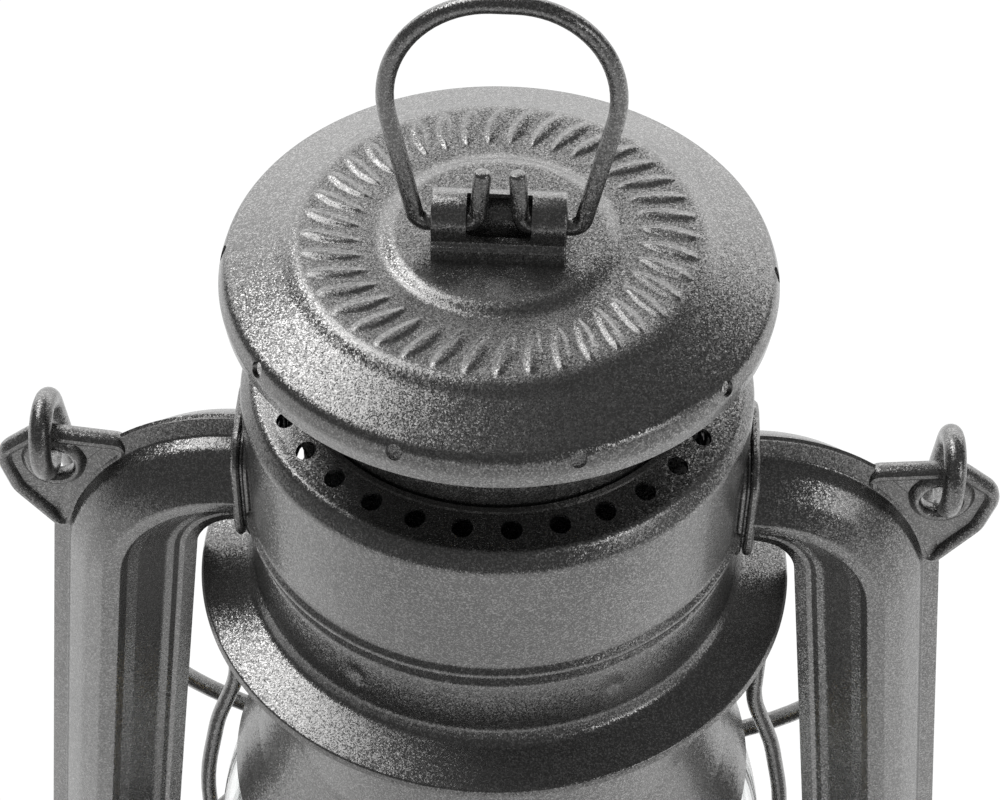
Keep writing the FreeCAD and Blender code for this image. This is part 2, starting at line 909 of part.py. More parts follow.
def elbow_centre():
    """The centre of a tube's upper bend, as (distance from the axis, height)."""
    splay = math.atan2(
        mm("lower_corner") - mm("upper_corner"), mm("duct_height") - mm("foot_duct_height")
    )
    reach = mm("upper_bend") * math.tan((math.pi / 2 - splay) / 2)
    return mm("upper_corner") - reach, mm("duct_height") - mm("upper_bend")


def bail_ear(label, side):
    """The lug at a tube's outer corner, with the hole that the bail hangs in."""
    body = new_body(label)
    outline = new_sketch(body, label + "_outline", "XZ_Plane")
    hole_height = dim("ear_hole_height")
    reach = dim("ear_reach")
    corners = [
        ((reach - 17.5) * side, hole_height + 6.0),
        ((reach - 6.0) * side, hole_height + 4.6, 6),
        ((reach + 1.0) * side, hole_height + 6.2, 3),
        ((reach + 6.4) * side, hole_height + 1.2, 3),
        ((reach + 4.6) * side, hole_height - 5.0, 4),
        ((reach + 0.3) * side, hole_height - 12.5),
        ((reach - 9.0) * side, hole_height - 12.5),
    ]
    draw(outline, corners)
    circle(outline, reach * side, hole_height, dim("ear_hole"))
    pad(body, outline, dim("ear_thickness"), midplane=True)
    relief = new_sketch(body, label + "_relief", "XZ_Plane")
    across, up = elbow_centre()
    bend = dim("upper_bend") + dim("tube_half_width") + dim("fit_gap")
    circle(relief, across * side, up, bend)
    cut(body, relief, 4, midplane=True)
    return body


# ---------------------------------------------------------------- hood


def cut_duct_mouths(body, name, length):
    mouths = new_sketch(body, name, "YZ_Plane")
    half = dim("tube_half_width") - dim("flange_width") - 0.9
    draw(mouths, duct_corners(half, dim("tube_depth") - 1.4, 2.5, dim("duct_height")))
    cut(body, mouths, length, midplane=True)


def hood_shell():
    radius = dim("hood_radius")
    inner = radius - dim("gauge")
    top = dim("hood_top")
    gauge = dim("gauge")
    corners = [
        (dim("hood_vent_inner"), top + 0.6),
        (dim("hood_vent_outer"), top - 0.6),
        (radius - 1.6, top - 0.4, 1),
        (radius, top - 2.6, 1.2),
        (radius, dim("hood_seam") + 1.4),
        (radius + 0.6, dim("hood_seam") + 0.7, 0.4),
        (radius, dim("hood_seam")),
        (inner, dim("hood_seam")),
        (inner, top - 3.2, 1),
        (dim("hood_vent_outer") - 0.2, top - 0.6 - gauge),
        (dim("hood_vent_inner"), top + 0.6 - gauge),
    ]
    body = turned("hood_shell", corners)
    vent = new_sketch(body, "hood_vent", "XY_Plane", top - 2)
    circle(vent, dim("hood_vent_circle"), 0, dim("hood_vent_hole"))
    hole = cut(body, vent, 4)
    repeat(body, hole, vent, dim("hood_vent_count"))
    cut_duct_mouths(body, "hood_mouths", dim("hood_radius") * 3)
    return body


def hood_skirt():
    """The lower band, nested in the shell, and its flared skirt."""
    radius = dim("hood_radius")
    gauge = dim("gauge")
    nested = radius - gauge - dim("fit_gap")
    seam = dim("hood_seam")
    crease = dim("skirt_crease")
    corners = [
        (nested, seam + 13),
        (nested, seam - 0.4),
        (radius, seam - 1.4),
        (radius, crease + 1),
        (radius - 0.2, crease, 0.6),
        (dim("skirt_radius"), dim("skirt_edge")),
        (dim("skirt_radius"), dim("skirt_edge") - gauge),
        (radius - 0.9, crease - gauge + 0.1, 1),
        (radius - gauge, crease + 1.2),
        (radius - gauge, seam - 1.8),
        (nested - gauge, seam - 0.6),
        (nested - gauge, seam + 13),
    ]
    body = turned("hood_skirt", corners)
    cut_duct_mouths(body, "skirt_mouths", dim("hood_radius") * 3)
    return body


def hood_guide():
    """The sleeve in the hood's top hole that the chimney slides in."""
    inner = dim("chimney_radius") + dim("running_gap")
    outer = dim("hood_vent_inner")
    top = dim("hood_top")
    return turned("hood_guide", box_corners(inner, outer, top - 6, top + 1))


# ---------------------------------------------------------------- chimney, bell and spring


def chimney_tube():
    radius = dim("chimney_radius")
    top = dim("chimney_top")
    corners = [
        (radius, dim("chimney_bottom")),
        (radius, top - 3.4),
        (radius + 0.5, top - 2.4, 0.5),
        (radius, top - 1.4),
        (radius, top),
        (radius - 0.6, top),
        (radius - 0.6, dim("chimney_bottom")),
    ]
    return turned("chimney_tube", corners)


def bell():
    bore = dim("chimney_radius") + dim("fit_gap")
    skin = [
        (bore, dim("bell_top") - 0.5, 0, 1),
        (dim("bell_neck_radius") - 1, dim("bell_top"), 0.5, 1),
        (dim("bell_neck_radius"), dim("bell_top") - 1.4, 1, 0.3),
        (dim("bell_crease_radius"), dim("bell_crease"), 1, 0.2),
        (dim("bell_edge_radius"), dim("bell_edge"), 1, 0.3),
        (dim("bell_edge_radius") + 1.9, dim("bell_edge") - 4.3, 1, 0.3),
        (dim("bell_rim_radius"), dim("bell_rim"), 1, 0),
    ]
    return turned("bell", pressed(skin))


def spring_collar():
    """The ring on the chimney that carries the spring's lower end."""
    bore = dim("chimney_radius") + dim("fit_gap")
    low = dim("spring_bottom") - 3
    corners = [
        (bore, low),
        (bore + 0.7, low),
        (bore + 0.7, low + 2.3),
        (dim("spring_radius") + 1.4, low + 2.3),
        (dim("spring_radius") + 1.4, low + 3),
        (bore, low + 3),
    ]
    return turned("spring_collar", corners)


def chimney_spring():
    """A coil spring round the chimney, from its collar up to the hood."""
    wire = mm("spring_wire")
    height = mm("spring_top") - mm("spring_bottom") - 2 * wire - 2 * mm("fit_gap")
    pitch = height / mm("spring_turns")
    helix = Part.makeHelix(pitch, height, mm("spring_radius"))
    helix.translate(FreeCAD.Vector(0, 0, mm("spring_bottom") + wire + mm("fit_gap")))
    return swept("chimney_spring", Part.Wire(helix.Edges), wire)


# ---------------------------------------------------------------- cap, ring and bracket


def cap():
    outer = dim("cap_crease_outer")
    inner = dim("cap_crease_inner")
    top = dim("cap_top")
    skin = [
        (0, top, 0, 1),
        (inner, top, 0, 1),
        (inner + 0.8, top - 0.7, 0, 1),
        (outer, top - 0.8, 0, 1),
        (outer + 0.8, top - 1.6, 0.2, 1),
        (dim("cap_radius") - 0.7, dim("cap_shoulder") + 0.5, 0.6, 1),
        (dim("cap_radius"), dim("cap_shoulder") - 0.6, 1, 0.4),
        (dim("cap_edge_radius"), dim("cap_edge"), 1, 0),
    ]
    body = turned("cap", pressed(skin))
    notch = new_sketch(body, "cap_vent", "XY_Plane", dim("cap_shoulder") - 2.2)
    edge = dim("cap_radius")
    half = dim("gauge") * 1.6
    draw(notch, box_corners(edge - 1.2, edge + 1, -half, half))
    hole = cut(body, notch, 1.8)
    repeat(body, hole, notch, dim("cap_vent_count"))
    return body


def cap_stays():
    """Four straps inside the chimney that hold the cap above its mouth."""
    inner = mm("chimney_radius") - 0.6
    under = mm("cap_top") - 0.8 - mm("gauge")
    low = mm("chimney_top") - 9
    straps = []
    bore = Part.makeCylinder(inner, under - low, FreeCAD.Vector(0, 0, low))
    for quarter in range(4):
        leg = Part.makeBox(1, 6, under - low, FreeCAD.Vector(inner - 0.9, -3, low))
        foot = Part.makeBox(5, 6, 0.8, FreeCAD.Vector(inner - 5.1, -3, under - 0.8))
        strap = leg.fuse(foot).common(bore)
        strap.rotate(FreeCAD.Vector(0, 0, 0), FreeCAD.Vector(0, 0, 1), 45 + 90 * quarter)
        straps.append(strap)
    stays = doc.addObject("Part::Feature", "cap_stays")
    stays.Shape = Part.makeCompound(straps)
    return stays


def cap_bracket():
    """A folded strap on the cap: its barrel is the bearing of the lifting ring."""
    body = new_body("cap_bracket")
    outline = new_sketch(body, "bracket_profile", "YZ_Plane")
    forward = dim("ring_axis_forward")
    axis = dim("ring_axis_height")
    bore = dim("ring_wire") + 0.13
    wall = bore + 0.7
    low = dim("cap_top")
    back = forward + 4.7
    crown = axis + 3.1
    corners = [
        (forward - 2.9, low),
        (forward - 2.9, low + 1.0, 0.3),
        (forward - wall, low + 1.6, 0.4),
        (forward - wall, crown, 3.1),
        (back, crown, 3.1),
        (back, low + 0.7, 0.4),
        (back + 2.2, low + 0.7),
        (back + 2.2, low),
    ]
    draw(outline, corners)
    circle(outline, forward, axis, bore)
    pad(body, outline, dim("bracket_half_width") * 2, midplane=True)
    window = new_sketch(body, "bracket_window", "XY_Plane", low + 2.3)
    room = dim("bracket_window")
    draw(window, box_corners(-room, room, forward - 8, forward + 1.9))
    cut(body, window, 8)
    return body


def top_ring():
    """The wire lifting ring: two prongs, the bearing stretch, and the tall loop between."""
    body = new_body("top_ring")
    path = new_sketch(body, "ring_path", "XZ_Plane")
    high = dim("ring_top")
    route = [
        (-2.3, 7.2),
        (-2.3, 0, 1.5),
        (-9.7, 0, 1.6),
        (-16.4, high, 12),
        (16.4, high, 12),
        (9.7, 0, 1.6),
        (2.3, 0, 1.5),
        (2.3, 7.2),
    ]
    draw(path, route, closed=False)
    section = new_sketch(body, "ring_section", "XY_Plane", 7.2)
    circle(section, -2.3, 0, dim("ring_wire"))
    doc.recompute()
    pipe = body.newObject("PartDesign::AdditivePipe", "ring_pipe")
    pipe.Profile = section
    pipe.Spine = (path, [])
    doc.recompute()
    lean = FreeCAD.Rotation(FreeCAD.Vector(1, 0, 0), -mm("ring_lean"))
    spot = FreeCAD.Vector(0, mm("ring_axis_forward"), mm("ring_axis_height"))
    body.Placement = FreeCAD.Placement(spot, lean)
    return body


# ---------------------------------------------------------------- bail


def bail():
    """One wire: an eye round each ear, and a long bow between them."""
    eye = mm("bail_eye")
    reach = mm("ear_reach")
    length = mm("bail_length")

    def eye_arc(side):
        spots = []
        for degrees in (-70, -215, 0):
            turn = math.radians(degrees)
            spots.append(FreeCAD.Vector(side * reach, eye * math.cos(turn), eye * math.sin(turn)))
        return spots

    left = eye_arc(-1)
    right = eye_arc(1)
    bow = rounded_path(
        [
            (-reach, eye, 0, None),
            (-reach, eye, -length, mm("bail_corner")),
            (reach, eye, -length, mm("bail_corner")),
            (reach, eye, 0, None),
        ]
    )
    edges = [Part.Arc(*left).toShape(), *bow.Edges, Part.Arc(*right[::-1]).toShape()]
    wire = swept("bail", Part.Wire(edges), mm("bail_wire"))
    height = mm("ear_hole_height") + eye
    lean = FreeCAD.Rotation(FreeCAD.Vector(1, 0, 0), mm("bail_lean"))
    wire.Placement = FreeCAD.Placement(FreeCAD.Vector(0, 0, height), lean)
    return wire


# ---------------------------------------------------------------- the lantern


def both_sides(make, stem, *sizes):
    return [make(f"{stem}_{name}", side, *sizes) for name, side in (("left", -1), ("right", 1))]


def lantern():
    pieces = [tank_bottom(), tank_top(), filler_neck(), filler_gasket(), filler_cap()]
    pieces += [air_chamber(), burner_body(), burner_dome(), wick_tube(), wick()]
    pieces += [wick_shaft(), wick_wheels(), wick_knob()]
    pieces += [globe_plate(), globe(), globe_seat(), carrier_hoop()]
    pieces += both_sides(carrier_wire, "carrier_wire")
    pieces += [guard("guard_front", -1), guard("guard_back", 1)]
    pieces += [lift_lever(), lever_bracket()]
    for face_name, face in (("front", -1), ("back", 1)):
        pieces += both_sides(tube_half, f"tube_{face_name}", face)
    shell = hood_shell()
    pieces += both_sides(
        duct_collar, "hood_collar", "hood_radius", "duct_start", dim("duct_height"), 0.6, shell
    )
    pieces += both_sides(
        duct_collar, "tube_foot", "chamber_radius", "foot_duct_end", dim("foot_duct_height"), 0.8
    )
    pieces += both_sides(bail_ear, "ear")
    pieces += [shell, hood_skirt(), hood_guide()]
    pieces += [chimney_tube(), bell(), spring_collar(), chimney_spring()]
    pieces += [cap(), cap_stays(), cap_bracket(), top_ring(), bail()]
    return pieces


def check(pieces):
    faults = []
    for thing in doc.Objects:
        if "Invalid" in thing.State or "Error" in thing.State:
            faults.append(f"{thing.Label}: {thing.State}")
    for piece in pieces:
        if piece.Shape.isNull() or not piece.Shape.isValid() or not piece.Shape.Solids:
            faults.append(f"{piece.Label}: bad shape")
    if faults:
        raise RuntimeError("; ".join(faults))


fill_sheet()
subparts = lantern()
doc.recompute()
check(subparts)
os.makedirs("parts", exist_ok=True)
for subpart in subparts:
    subpart.Shape.exportStep(f"parts/{subpart.Label}.step")
print(f"{len(subparts)} pieces written")
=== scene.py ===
"""The looks of a small tubular storm lantern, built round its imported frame."""

import math

import bmesh
import bpy
from mathutils import Matrix, Quaternion, Vector
from mathutils.geometry import tessellate_polygon


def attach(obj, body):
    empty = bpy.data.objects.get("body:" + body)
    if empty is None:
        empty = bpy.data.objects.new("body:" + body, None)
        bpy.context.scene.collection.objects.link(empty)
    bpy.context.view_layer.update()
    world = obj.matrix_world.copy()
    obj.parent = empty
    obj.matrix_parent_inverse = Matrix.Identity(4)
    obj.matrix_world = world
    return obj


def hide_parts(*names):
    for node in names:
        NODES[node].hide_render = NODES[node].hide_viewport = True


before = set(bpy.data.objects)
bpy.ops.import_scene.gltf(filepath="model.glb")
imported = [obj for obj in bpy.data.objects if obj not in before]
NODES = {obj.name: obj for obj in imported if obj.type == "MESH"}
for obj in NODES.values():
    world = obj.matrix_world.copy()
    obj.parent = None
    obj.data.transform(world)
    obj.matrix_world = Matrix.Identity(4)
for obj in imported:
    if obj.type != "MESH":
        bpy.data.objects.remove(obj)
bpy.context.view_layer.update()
MM = 0.001
UP = Vector((0, 0, 1))
SIDES = ((-1, "left"), (1, "right"))
FACES = ((-1, "front"), (1, "back"))

# ---------------------------------------------------------------- sizes, in millimetres

SHEET = 0.7
GLASS_WALL = 1.6
FIT_GAP = 0.05
TURN = 224                    # divisions of a full turn
CREASE = 32                   # degrees past which an edge shows as a crease
WIRE_SIDES = 20
HOLE_SIDES = 48
AXIS = 1e-6                   # a point nearer to the middle than this lies on the axis
CAP_TOP = 257.0
CAP_SHOULDER = 252.0
CAP_EDGE = 248.3
CAP_RADIUS = 34.0
EMBOSS_INNER = 17.0
EMBOSS_OUTER = 23.8
EMBOSS_HEIGHT = 0.26
EMBOSS_COUNT = 40
EMBOSS_SLANT = 0.3            # how far a strand's ends lean from its middle, in pitches
EMBOSS_ROOM = 0.36            # a strand's half width at its widest, likewise
EMBOSS_SLOPE = 0.26           # the width of a strand's flank, likewise
CAP_DROP = 0.75               # how far the annulus lies below the cap's middle
CAP_VENTS = 10
NOTCH_RISE = 0.35             # how far a notch points up, for each unit outwards
HOOD_TOP = 234.6
HOOD_RADIUS = 32.5
HOOD_VENTS = 30
VENT_CIRCLE = 27.9
VENT_LEAN = 0.28              # how far a vent leans outwards, for each unit of rise
DIMPLE_HEIGHT = 206.3
DIMPLE_RADIUS = 1.9
DIMPLE_DEPTH = 0.45
DIMPLE_ASIDE = 0.5            # where the dimples are, in shares of the hood's radius
DIMPLE_FORWARD = 0.866
HOOD_SEAM = 212.0
SKIRT_CREASE = 200.0
SKIRT_RADIUS = 39.8
SKIRT_EDGE = 198.2
CHIMNEY_RADIUS = 25.0
CHIMNEY_TOP = 247.0
CHIMNEY_BOTTOM = 179.5
BELL_EDGE = 37.7
DUCT_Z = 213.6
DUCT_START = 34.0
UPPER_CORNER = 48.96
UPPER_BEND = 16
LOWER_CORNER = 66.4
LOWER_BEND = 18
FOOT_Z = 66.0
FOOT_END = 37.6
TUBE_HALF = 9.75
TUBE_DEPTH = 7.6
CREST = 0.85                  # how far the ridge of a tube lies inside its middle line
COLLAR_BORE = -2.6            # a collar's growth at its bore, inside the tube's outline
EAR_X = 58.9
EAR_Z = 213.6
EAR_BEND = (34.6, 197.6)      # the middle of the tube's bend, which an ear follows
EAR_INNER = 22.3              # and the radius of the ear's inner side about it
EYELET_INSET = 0.5
EYE = 4.7
BAIL_LENGTH = 127.5
BAIL_CORNER = 55.0
BAIL_LEAN = math.radians(17)
BAIL_WIRE = 1.45
RING_Y = -3.0
RING_Z = 260.6
RING_TOP = 29.0
RING_WIRE = 1.07
RING_LEAN = math.radians(8)
PRONG = 7.2
STRAP_FRONT = RING_Y - 1.9
STRAP_BACK = RING_Y + 4.7
STRAP_CROWN = RING_Z + 3.1
WINDOW_SILL = RING_Z - 1.3
WINDOW_HALF = 3.85
CARRIER_WIRE = 1.2
CARRIER_TURN = math.radians(11.7)
HOOP_RADIUS = 32.1
HOOP_Z = 190.0
THIN_WIRE = 1.0
GUARD_Z = 112.0
GLOBE_FOOT = 88.0
GLOBE_RADIUS = 41.0
GLOBE_NECK = 27.5
PLATE_Z = 86.5
PLATE_HOLE = 18.0
PLATE_LIP = 1.2               # how far the plate's rim lies above its middle
PLATE_VENTS = 24
TANK_RADIUS = 57.5
TANK_SEAM = 24.0
FILLER_TURN = math.radians(-50)
FILLER_REACH = 47
FILLER_HOLE = 7.05
FILLER_CAP = 9.5
CHAMBER = 36.0
DOME_TOP = 103.0
DOME_VENTS = 16
WICK_TOP = 99.0
WICK_BOTTOM = 10.0
WICK_HALF = (1.0, 6.0)
SHAFT_X = 3.95
SHAFT_Z = 84.3
KNOB_RADIUS = 7.0
GRIPS = 36                    # grooves round a knurled cap or knob
KNURLED_TURN = 12 * GRIPS
LEVER_ARM = 13.5
LEVER_X = 44.0
LEVER_Y = -12.5
LEVER_Z = 85.5

# ---------------------------------------------------------------- looks and stage, in metres

FLAKES = 6800                 # paint flakes across a metre
SCORCH = (0.0955, 0.0985)     # the heights between which the wick turns black
FLOOR_HALF = 6.0
FLOOR_Z = -0.0004
FLOOR_FADE = (-0.22, -0.06)   # the table's glow rises between these places, front to back
FLOOR_GLOW = (0.72, 1.04)
WALL_TOP = (0.86, 1.0)        # the wall fades out between these heights, per unit of distance
WALL_SIDE = (1.0, 1.5)
ROOM_LEVEL = 0.13
WALL_LEVEL = 1.7
LIT_POINT = Vector((0, 0, 0.22))
CAMERA_AZIMUTH = math.radians(2)
CAMERA_ELEVATION = math.radians(45.6)
CAMERA_ROLL = math.radians(0.91)
CAMERA_TARGET = Vector((0, 0, 0.228))
CAMERA_DISTANCE = 0.319
CAMERA_LENS = 89.9
CAMERA_SHIFT = 0.0033


# ---------------------------------------------------------------- materials


class Graph:
    """A short way to wire up the nodes of a material or a world."""

    def __init__(self, owner, space):
        owner.use_nodes = True
        self.nodes = owner.node_tree.nodes
        self.links = owner.node_tree.links
        self.where = self.nodes.new("ShaderNodeTexCoord").outputs[space]

    def add(self, kind, **values):
        node = self.nodes.new(kind)
        for key, value in values.items():
            if hasattr(node, key):
                setattr(node, key, value)
            else:
                self.put(node.inputs[key.replace("_", " ")], value)
        return node

    def put(self, socket, value):
        if isinstance(value, bpy.types.NodeSocket):
            self.links.new(value, socket)
        else:
            socket.default_value = value

    def math(self, operation, first, second=0.0):
        node = self.nodes.new("ShaderNodeMath")
        node.operation = operation
        self.put(node.inputs[0], first)
        self.put(node.inputs[1], second)
        return node.outputs[0]

    def vector(self, operation, first, second):
        node = self.nodes.new("ShaderNodeVectorMath")
        node.operation = operation
        self.put(node.inputs[0], first)
        if operation == "SCALE":
            self.put(node.inputs["Scale"], second)
        elif operation != "NORMALIZE":
            self.put(node.inputs[1], second)
        return node.outputs[0]

    def noise(self, scale, detail=2.0, roughness=0.5):
        node = self.add("ShaderNodeTexNoise", Scale=scale, Detail=detail, Roughness=roughness)
        self.links.new(self.where, node.inputs["Vector"])
        return node.outputs["Fac"]

    def cells(self, scale):
        node = self.add("ShaderNodeTexVoronoi", Scale=scale)
        self.links.new(self.where, node.inputs["Vector"])
        return node.outputs["Color"]

    def spread(self, value, source, target, kind="LINEAR"):
        """Takes a value from one range, (low, high), to another."""
        node = self.nodes.new("ShaderNodeMapRange")
        node.interpolation_type = kind
        for socket, number in zip(list(node.inputs)[:5], (value, *source, *target)):
            self.put(socket, number)
        return node.outputs["Result"]

    def mix(self, factor, first, second):
        node = self.nodes.new("ShaderNodeMix")
        node.data_type = "RGBA"
        self.put(node.inputs[0], factor)
        self.put(node.inputs[6], first)
        self.put(node.inputs[7], second)
        return node.outputs[2]

    def bump(self, height, strength, distance):
        node = self.add("ShaderNodeBump", Strength=strength, Distance=distance, Height=height)
        return node.outputs["Normal"]


class Finish(Graph):
    """A material with a principled shader."""

    def __init__(self, name):
        self.material = bpy.data.materials.new(name)
        super().__init__(self.material, "Object")
        self.shader = self.nodes["Principled BSDF"]

    def set(self, **values):
        for key, value in values.items():
            self.put(self.shader.inputs[key.replace("_", " ")], value)


def grey(value, warm=0.0):
    return (value * (1 + warm), value, value * (1 - warm), 1.0)


def flake_normal(tree, amount):
    """The surface normal, tipped a random small way in every paint flake."""
    tip = tree.vector("SUBTRACT", tree.cells(FLAKES), (0.5, 0.5, 0.5))
    tip = tree.vector("SCALE", tip, amount)
    true = tree.add("ShaderNodeNewGeometry").outputs["Normal"]
    return tree.vector("NORMALIZE", tree.vector("ADD", true, tip), None)


def iron_paint():
    """Dark grey enamel full of fine flakes, the brightest with painted glints, under a thin coat
    with a faint orange peel.
    """
    tree = Finish("iron_paint")
    dark, light = grey(0.155, 0.008), grey(0.185, 0.012)
    # the first grey is a painted glint for the brightest flakes, the second a painted highlight
    # for sharp edges
    bright, painted_highlight_grey = grey(0.5, 0.01), grey(0.34, 0.02)
    split = tree.add("ShaderNodeSeparateColor", Color=tree.cells(FLAKES))
    base = tree.mix(tree.spread(tree.noise(55, 3), (0.3, 0.7), (0.0, 1.0)), dark, light)
    # painted glint: the flake cells with the highest value take the pale grey, standing in for
    # flakes that sparkle in the light
    base = tree.mix(tree.spread(split.outputs[0], (0.55, 1.0), (0.0, 0.65)), base, bright)
    # painted highlight: sharp edges, found by pointiness, take a lighter grey broken up by noise,
    # standing in for light catching the edges
    edge = tree.add("ShaderNodeNewGeometry").outputs["Pointiness"]
    painted_edge_highlight = tree.spread(edge, (0.53, 0.6), (0.0, 0.4))
    base = tree.mix(tree.math("MULTIPLY", painted_edge_highlight, tree.noise(900, 4)), base, painted_highlight_grey)
    tree.set(Base_Color=base, Metallic=0.95, Normal=flake_normal(tree, 0.24))
    tree.set(Roughness=tree.spread(split.outputs[1], (0.0, 1.0), (0.22, 0.34)))
    peel = tree.bump(tree.noise(900, 1), 0.12, 0.00006)
    tree.set(Coat_Weight=0.25, Coat_Roughness=0.1, Coat_Normal=peel, Specular_IOR_Level=0.5)
    return tree.material


def clear_glass():
    """Clear blown glass, with the faint waves of hand gathering."""
    tree = Finish("clear_glass")
    waves = tree.bump(tree.noise(38, 1), 0.25, 0.0006)
    tree.set(Base_Color=(0.98, 0.995, 0.99, 1), Roughness=0.02, IOR=1.47, Normal=waves)
    tree.set(Transmission_Weight=1.0)
    return tree.material


def brass():
    """Turned brass with fine tool marks and a little tarnish."""
    tree = Finish("brass")
    tint = (0.78, 0.57, 0.25, 1)
    dull = (tint[0] * 0.55, tint[1] * 0.5, tint[2] * 0.45, 1)
    rough = 0.24
    tarnish = tree.spread(tree.noise(160, 5, 0.65), (0.4, 0.7), (0.0, 1.0))
    marks = tree.bump(tree.noise(2600, 2), 0.2, 0.00005)
    tree.set(Base_Color=tree.mix(tarnish, tint, dull), Metallic=1.0, Normal=marks)
    tree.set(Roughness=tree.spread(tarnish, (0, 1), (rough, rough + 0.25)))
    return tree.material


def spring_steel():
    """Bright drawn wire with fine scratches."""
    tree = Finish("spring_steel")
    scratch = tree.noise(1800, 3)
    tree.set(Base_Color=tree.mix(scratch, grey(0.4), grey(0.6)), Metallic=1.0)
    tree.set(Roughness=tree.spread(scratch, (0.3, 0.7), (0.22, 0.45)))
    return tree.material


def cotton():
    """Woven wick: crossing ribs, off-white, with a scorched top."""
    tree = Finish("cotton")
    _, across, up = tree.add("ShaderNodeSeparateXYZ", Vector=tree.where).outputs
    warp = tree.math("SINE", tree.math("MULTIPLY", across, 7800))
    weft = tree.math("SINE", tree.math("MULTIPLY", up, 6200))
    weave = tree.math("MULTIPLY", warp, weft)
    burnt = tree.spread(up, SCORCH, (0.0, 1.0))
    pale = tree.mix(tree.noise(420, 4), (0.62, 0.56, 0.44, 1), (0.8, 0.76, 0.66, 1))
    tree.set(Base_Color=tree.mix(burnt, pale, (0.03, 0.025, 0.02, 1)), Roughness=0.95)
    tree.set(Normal=tree.bump(weave, 0.7, 0.0002), Sheen_Weight=0.4)
    return tree.material


def rubber():
    """Black rubber, a little dusty."""
    tree = Finish("rubber")
    dust = tree.noise(700, 4)
    tree.set(Base_Color=tree.mix(dust, grey(0.012), grey(0.04)), Roughness=0.7)
    tree.set(Normal=tree.bump(dust, 0.3, 0.0001))
    return tree.material


PAINT = iron_paint()
GLASS = clear_glass()
BRASS = brass()
COTTON = cotton()
BY_SLOT = {
    "iron_paint": PAINT,
    "clear_glass": GLASS,
    "brass": BRASS,
    "spring_steel": spring_steel(),
    "cotton": COTTON,
    "rubber": rubber(),
}


# ---------------------------------------------------------------- outlines


def rounded(corners, closed=False, step=math.radians(10)):
    """The points of an outline whose corners, (x, y, radius), are rounded by arcs."""
    spots = [Vector((c[0], c[1])) for c in corners]
    count = len(spots)
    out = []
    for i, corner in enumerate(corners):
        inside = closed or 0 < i < count - 1
        if len(corner) < 3 or not inside:
            out.append(spots[i])
            continue
        back = (spots[i - 1] - spots[i]).normalized()
        on = (spots[(i + 1) % count] - spots[i]).normalized()
        half = back.angle(on) / 2
        reach = corner[2] / math.tan(half)
        centre = spots[i] + (back + on).normalized() * (corner[2] / math.sin(half))
        start = spots[i] + back * reach - centre
        sweep = math.pi - 2 * half
        sense = 1 if start.cross(spots[i] + on * reach - centre) > 0 else -1
        pieces = max(2, math.ceil(sweep / step))
        for k in range(pieces + 1):
            turn = sense * sweep * k / pieces
            cos, sin = math.cos(turn), math.sin(turn)
            arm = (start.x * cos - start.y * sin, start.x * sin + start.y * cos)
            out.append(centre + Vector(arm))
    return out


def thickened(line, thickness):
    """A closed loop: the line, then the same line moved to its right by the thickness."""
    moved = []
    for i, spot in enumerate(line):
        before = (spot - line[i - 1]).normalized() if i else None
        after = (line[i + 1] - spot).normalized() if i + 1 < len(line) else None
        way = before or after
        if before and after:
            way = (before + after).normalized()
        side = Vector((way.y, -way.x))
        lean = max(0.5, side.dot(Vector((before.y, -before.x)))) if before else 1.0
        moved.append(spot + side * (thickness / lean))
    return list(line) + moved[::-1]


def refine(loop, longest):
    """Splits the long edges of a closed loop, so that dents and embossing have points to move."""
    out = []
    for i, spot in enumerate(loop):
        follow = loop[(i + 1) % len(loop)]
        pieces = max(1, math.ceil((follow - spot).length / longest))
        out += [spot.lerp(follow, k / pieces) for k in range(pieces)]
    return out


def turns(count, start=0.0):
    """The angles of so many places spread evenly round the axis."""
    return [2 * math.pi * (k + start) / count for k in range(count)]


def round_places(count, radius, height, start=0.0):
    """Points spread evenly on a level circle about the axis."""
    return [
        Vector((radius * math.cos(t), radius * math.sin(t), height)) for t in turns(count, start)
    ]


# ---------------------------------------------------------------- meshes


def smooth(mesh, crease=CREASE):
    mesh.polygons.foreach_set("use_smooth", [True] * len(mesh.polygons))
    mesh.set_sharp_from_angle(angle=math.radians(crease))


def bridge(here, there, count):
    """The faces between two rings of points, each ring given by its first point's number."""
    after = [(k + 1) % count for k in range(count)]
    return [(here + k, here + j, there + j, there + k) for k, j in enumerate(after)]


def piece(name, verts, faces, material, crease=CREASE):
    """A smooth-shaded object from points in millimetres, with creases past an angle."""
    mesh = bpy.data.meshes.new(name)
    mesh.from_pydata([Vector(v) * MM for v in verts], [], faces)
    mesh.validate()
    work = bmesh.new()
    work.from_mesh(mesh)
    bmesh.ops.remove_doubles(work, verts=work.verts, dist=1e-7)
    bmesh.ops.recalc_face_normals(work, faces=work.faces)
    if work.calc_volume(signed=True) < 0:
        bmesh.ops.reverse_faces(work, faces=work.faces)
    work.to_mesh(mesh)
    work.free()
    smooth(mesh, crease)
    mesh.materials.append(material)
    thing = bpy.data.objects.new(name, mesh)
    bpy.context.scene.collection.objects.link(thing)
    return thing


def lathe(name, loop, material, divisions=TURN, shape=None, crease=CREASE):
    """Turns a closed (radius, height) loop about Z; shape moves each point, (x, y, z)."""
    verts = []
    for angle in turns(divisions):
        for spot in loop:
            point = (spot.x * math.sin(angle), -spot.x * math.cos(angle), spot.y)
            verts.append(shape(point) if shape else point)
    count = len(loop)
    inner = [loop[i].x < AXIS and loop[(i + 1) % count].x < AXIS for i in range(count)]
    faces = []
    for k in range(divisions):
        strip = bridge(k * count, ((k + 1) % divisions) * count, count)
        faces += [face for i, face in enumerate(strip) if not inner[i]]
    return piece(name, verts, faces, material, crease)


def pressed(name, corners, material=PAINT, sheet=SHEET, longest=None, shape=None, divisions=TURN):
    """A lathe piece of sheet; its corners follow the outer skin, from the inside outwards."""
    loop = thickened(rounded(corners), sheet)
    if longest:
        loop = refine(loop, longest)
    return lathe(name, loop, material, divisions, shape)


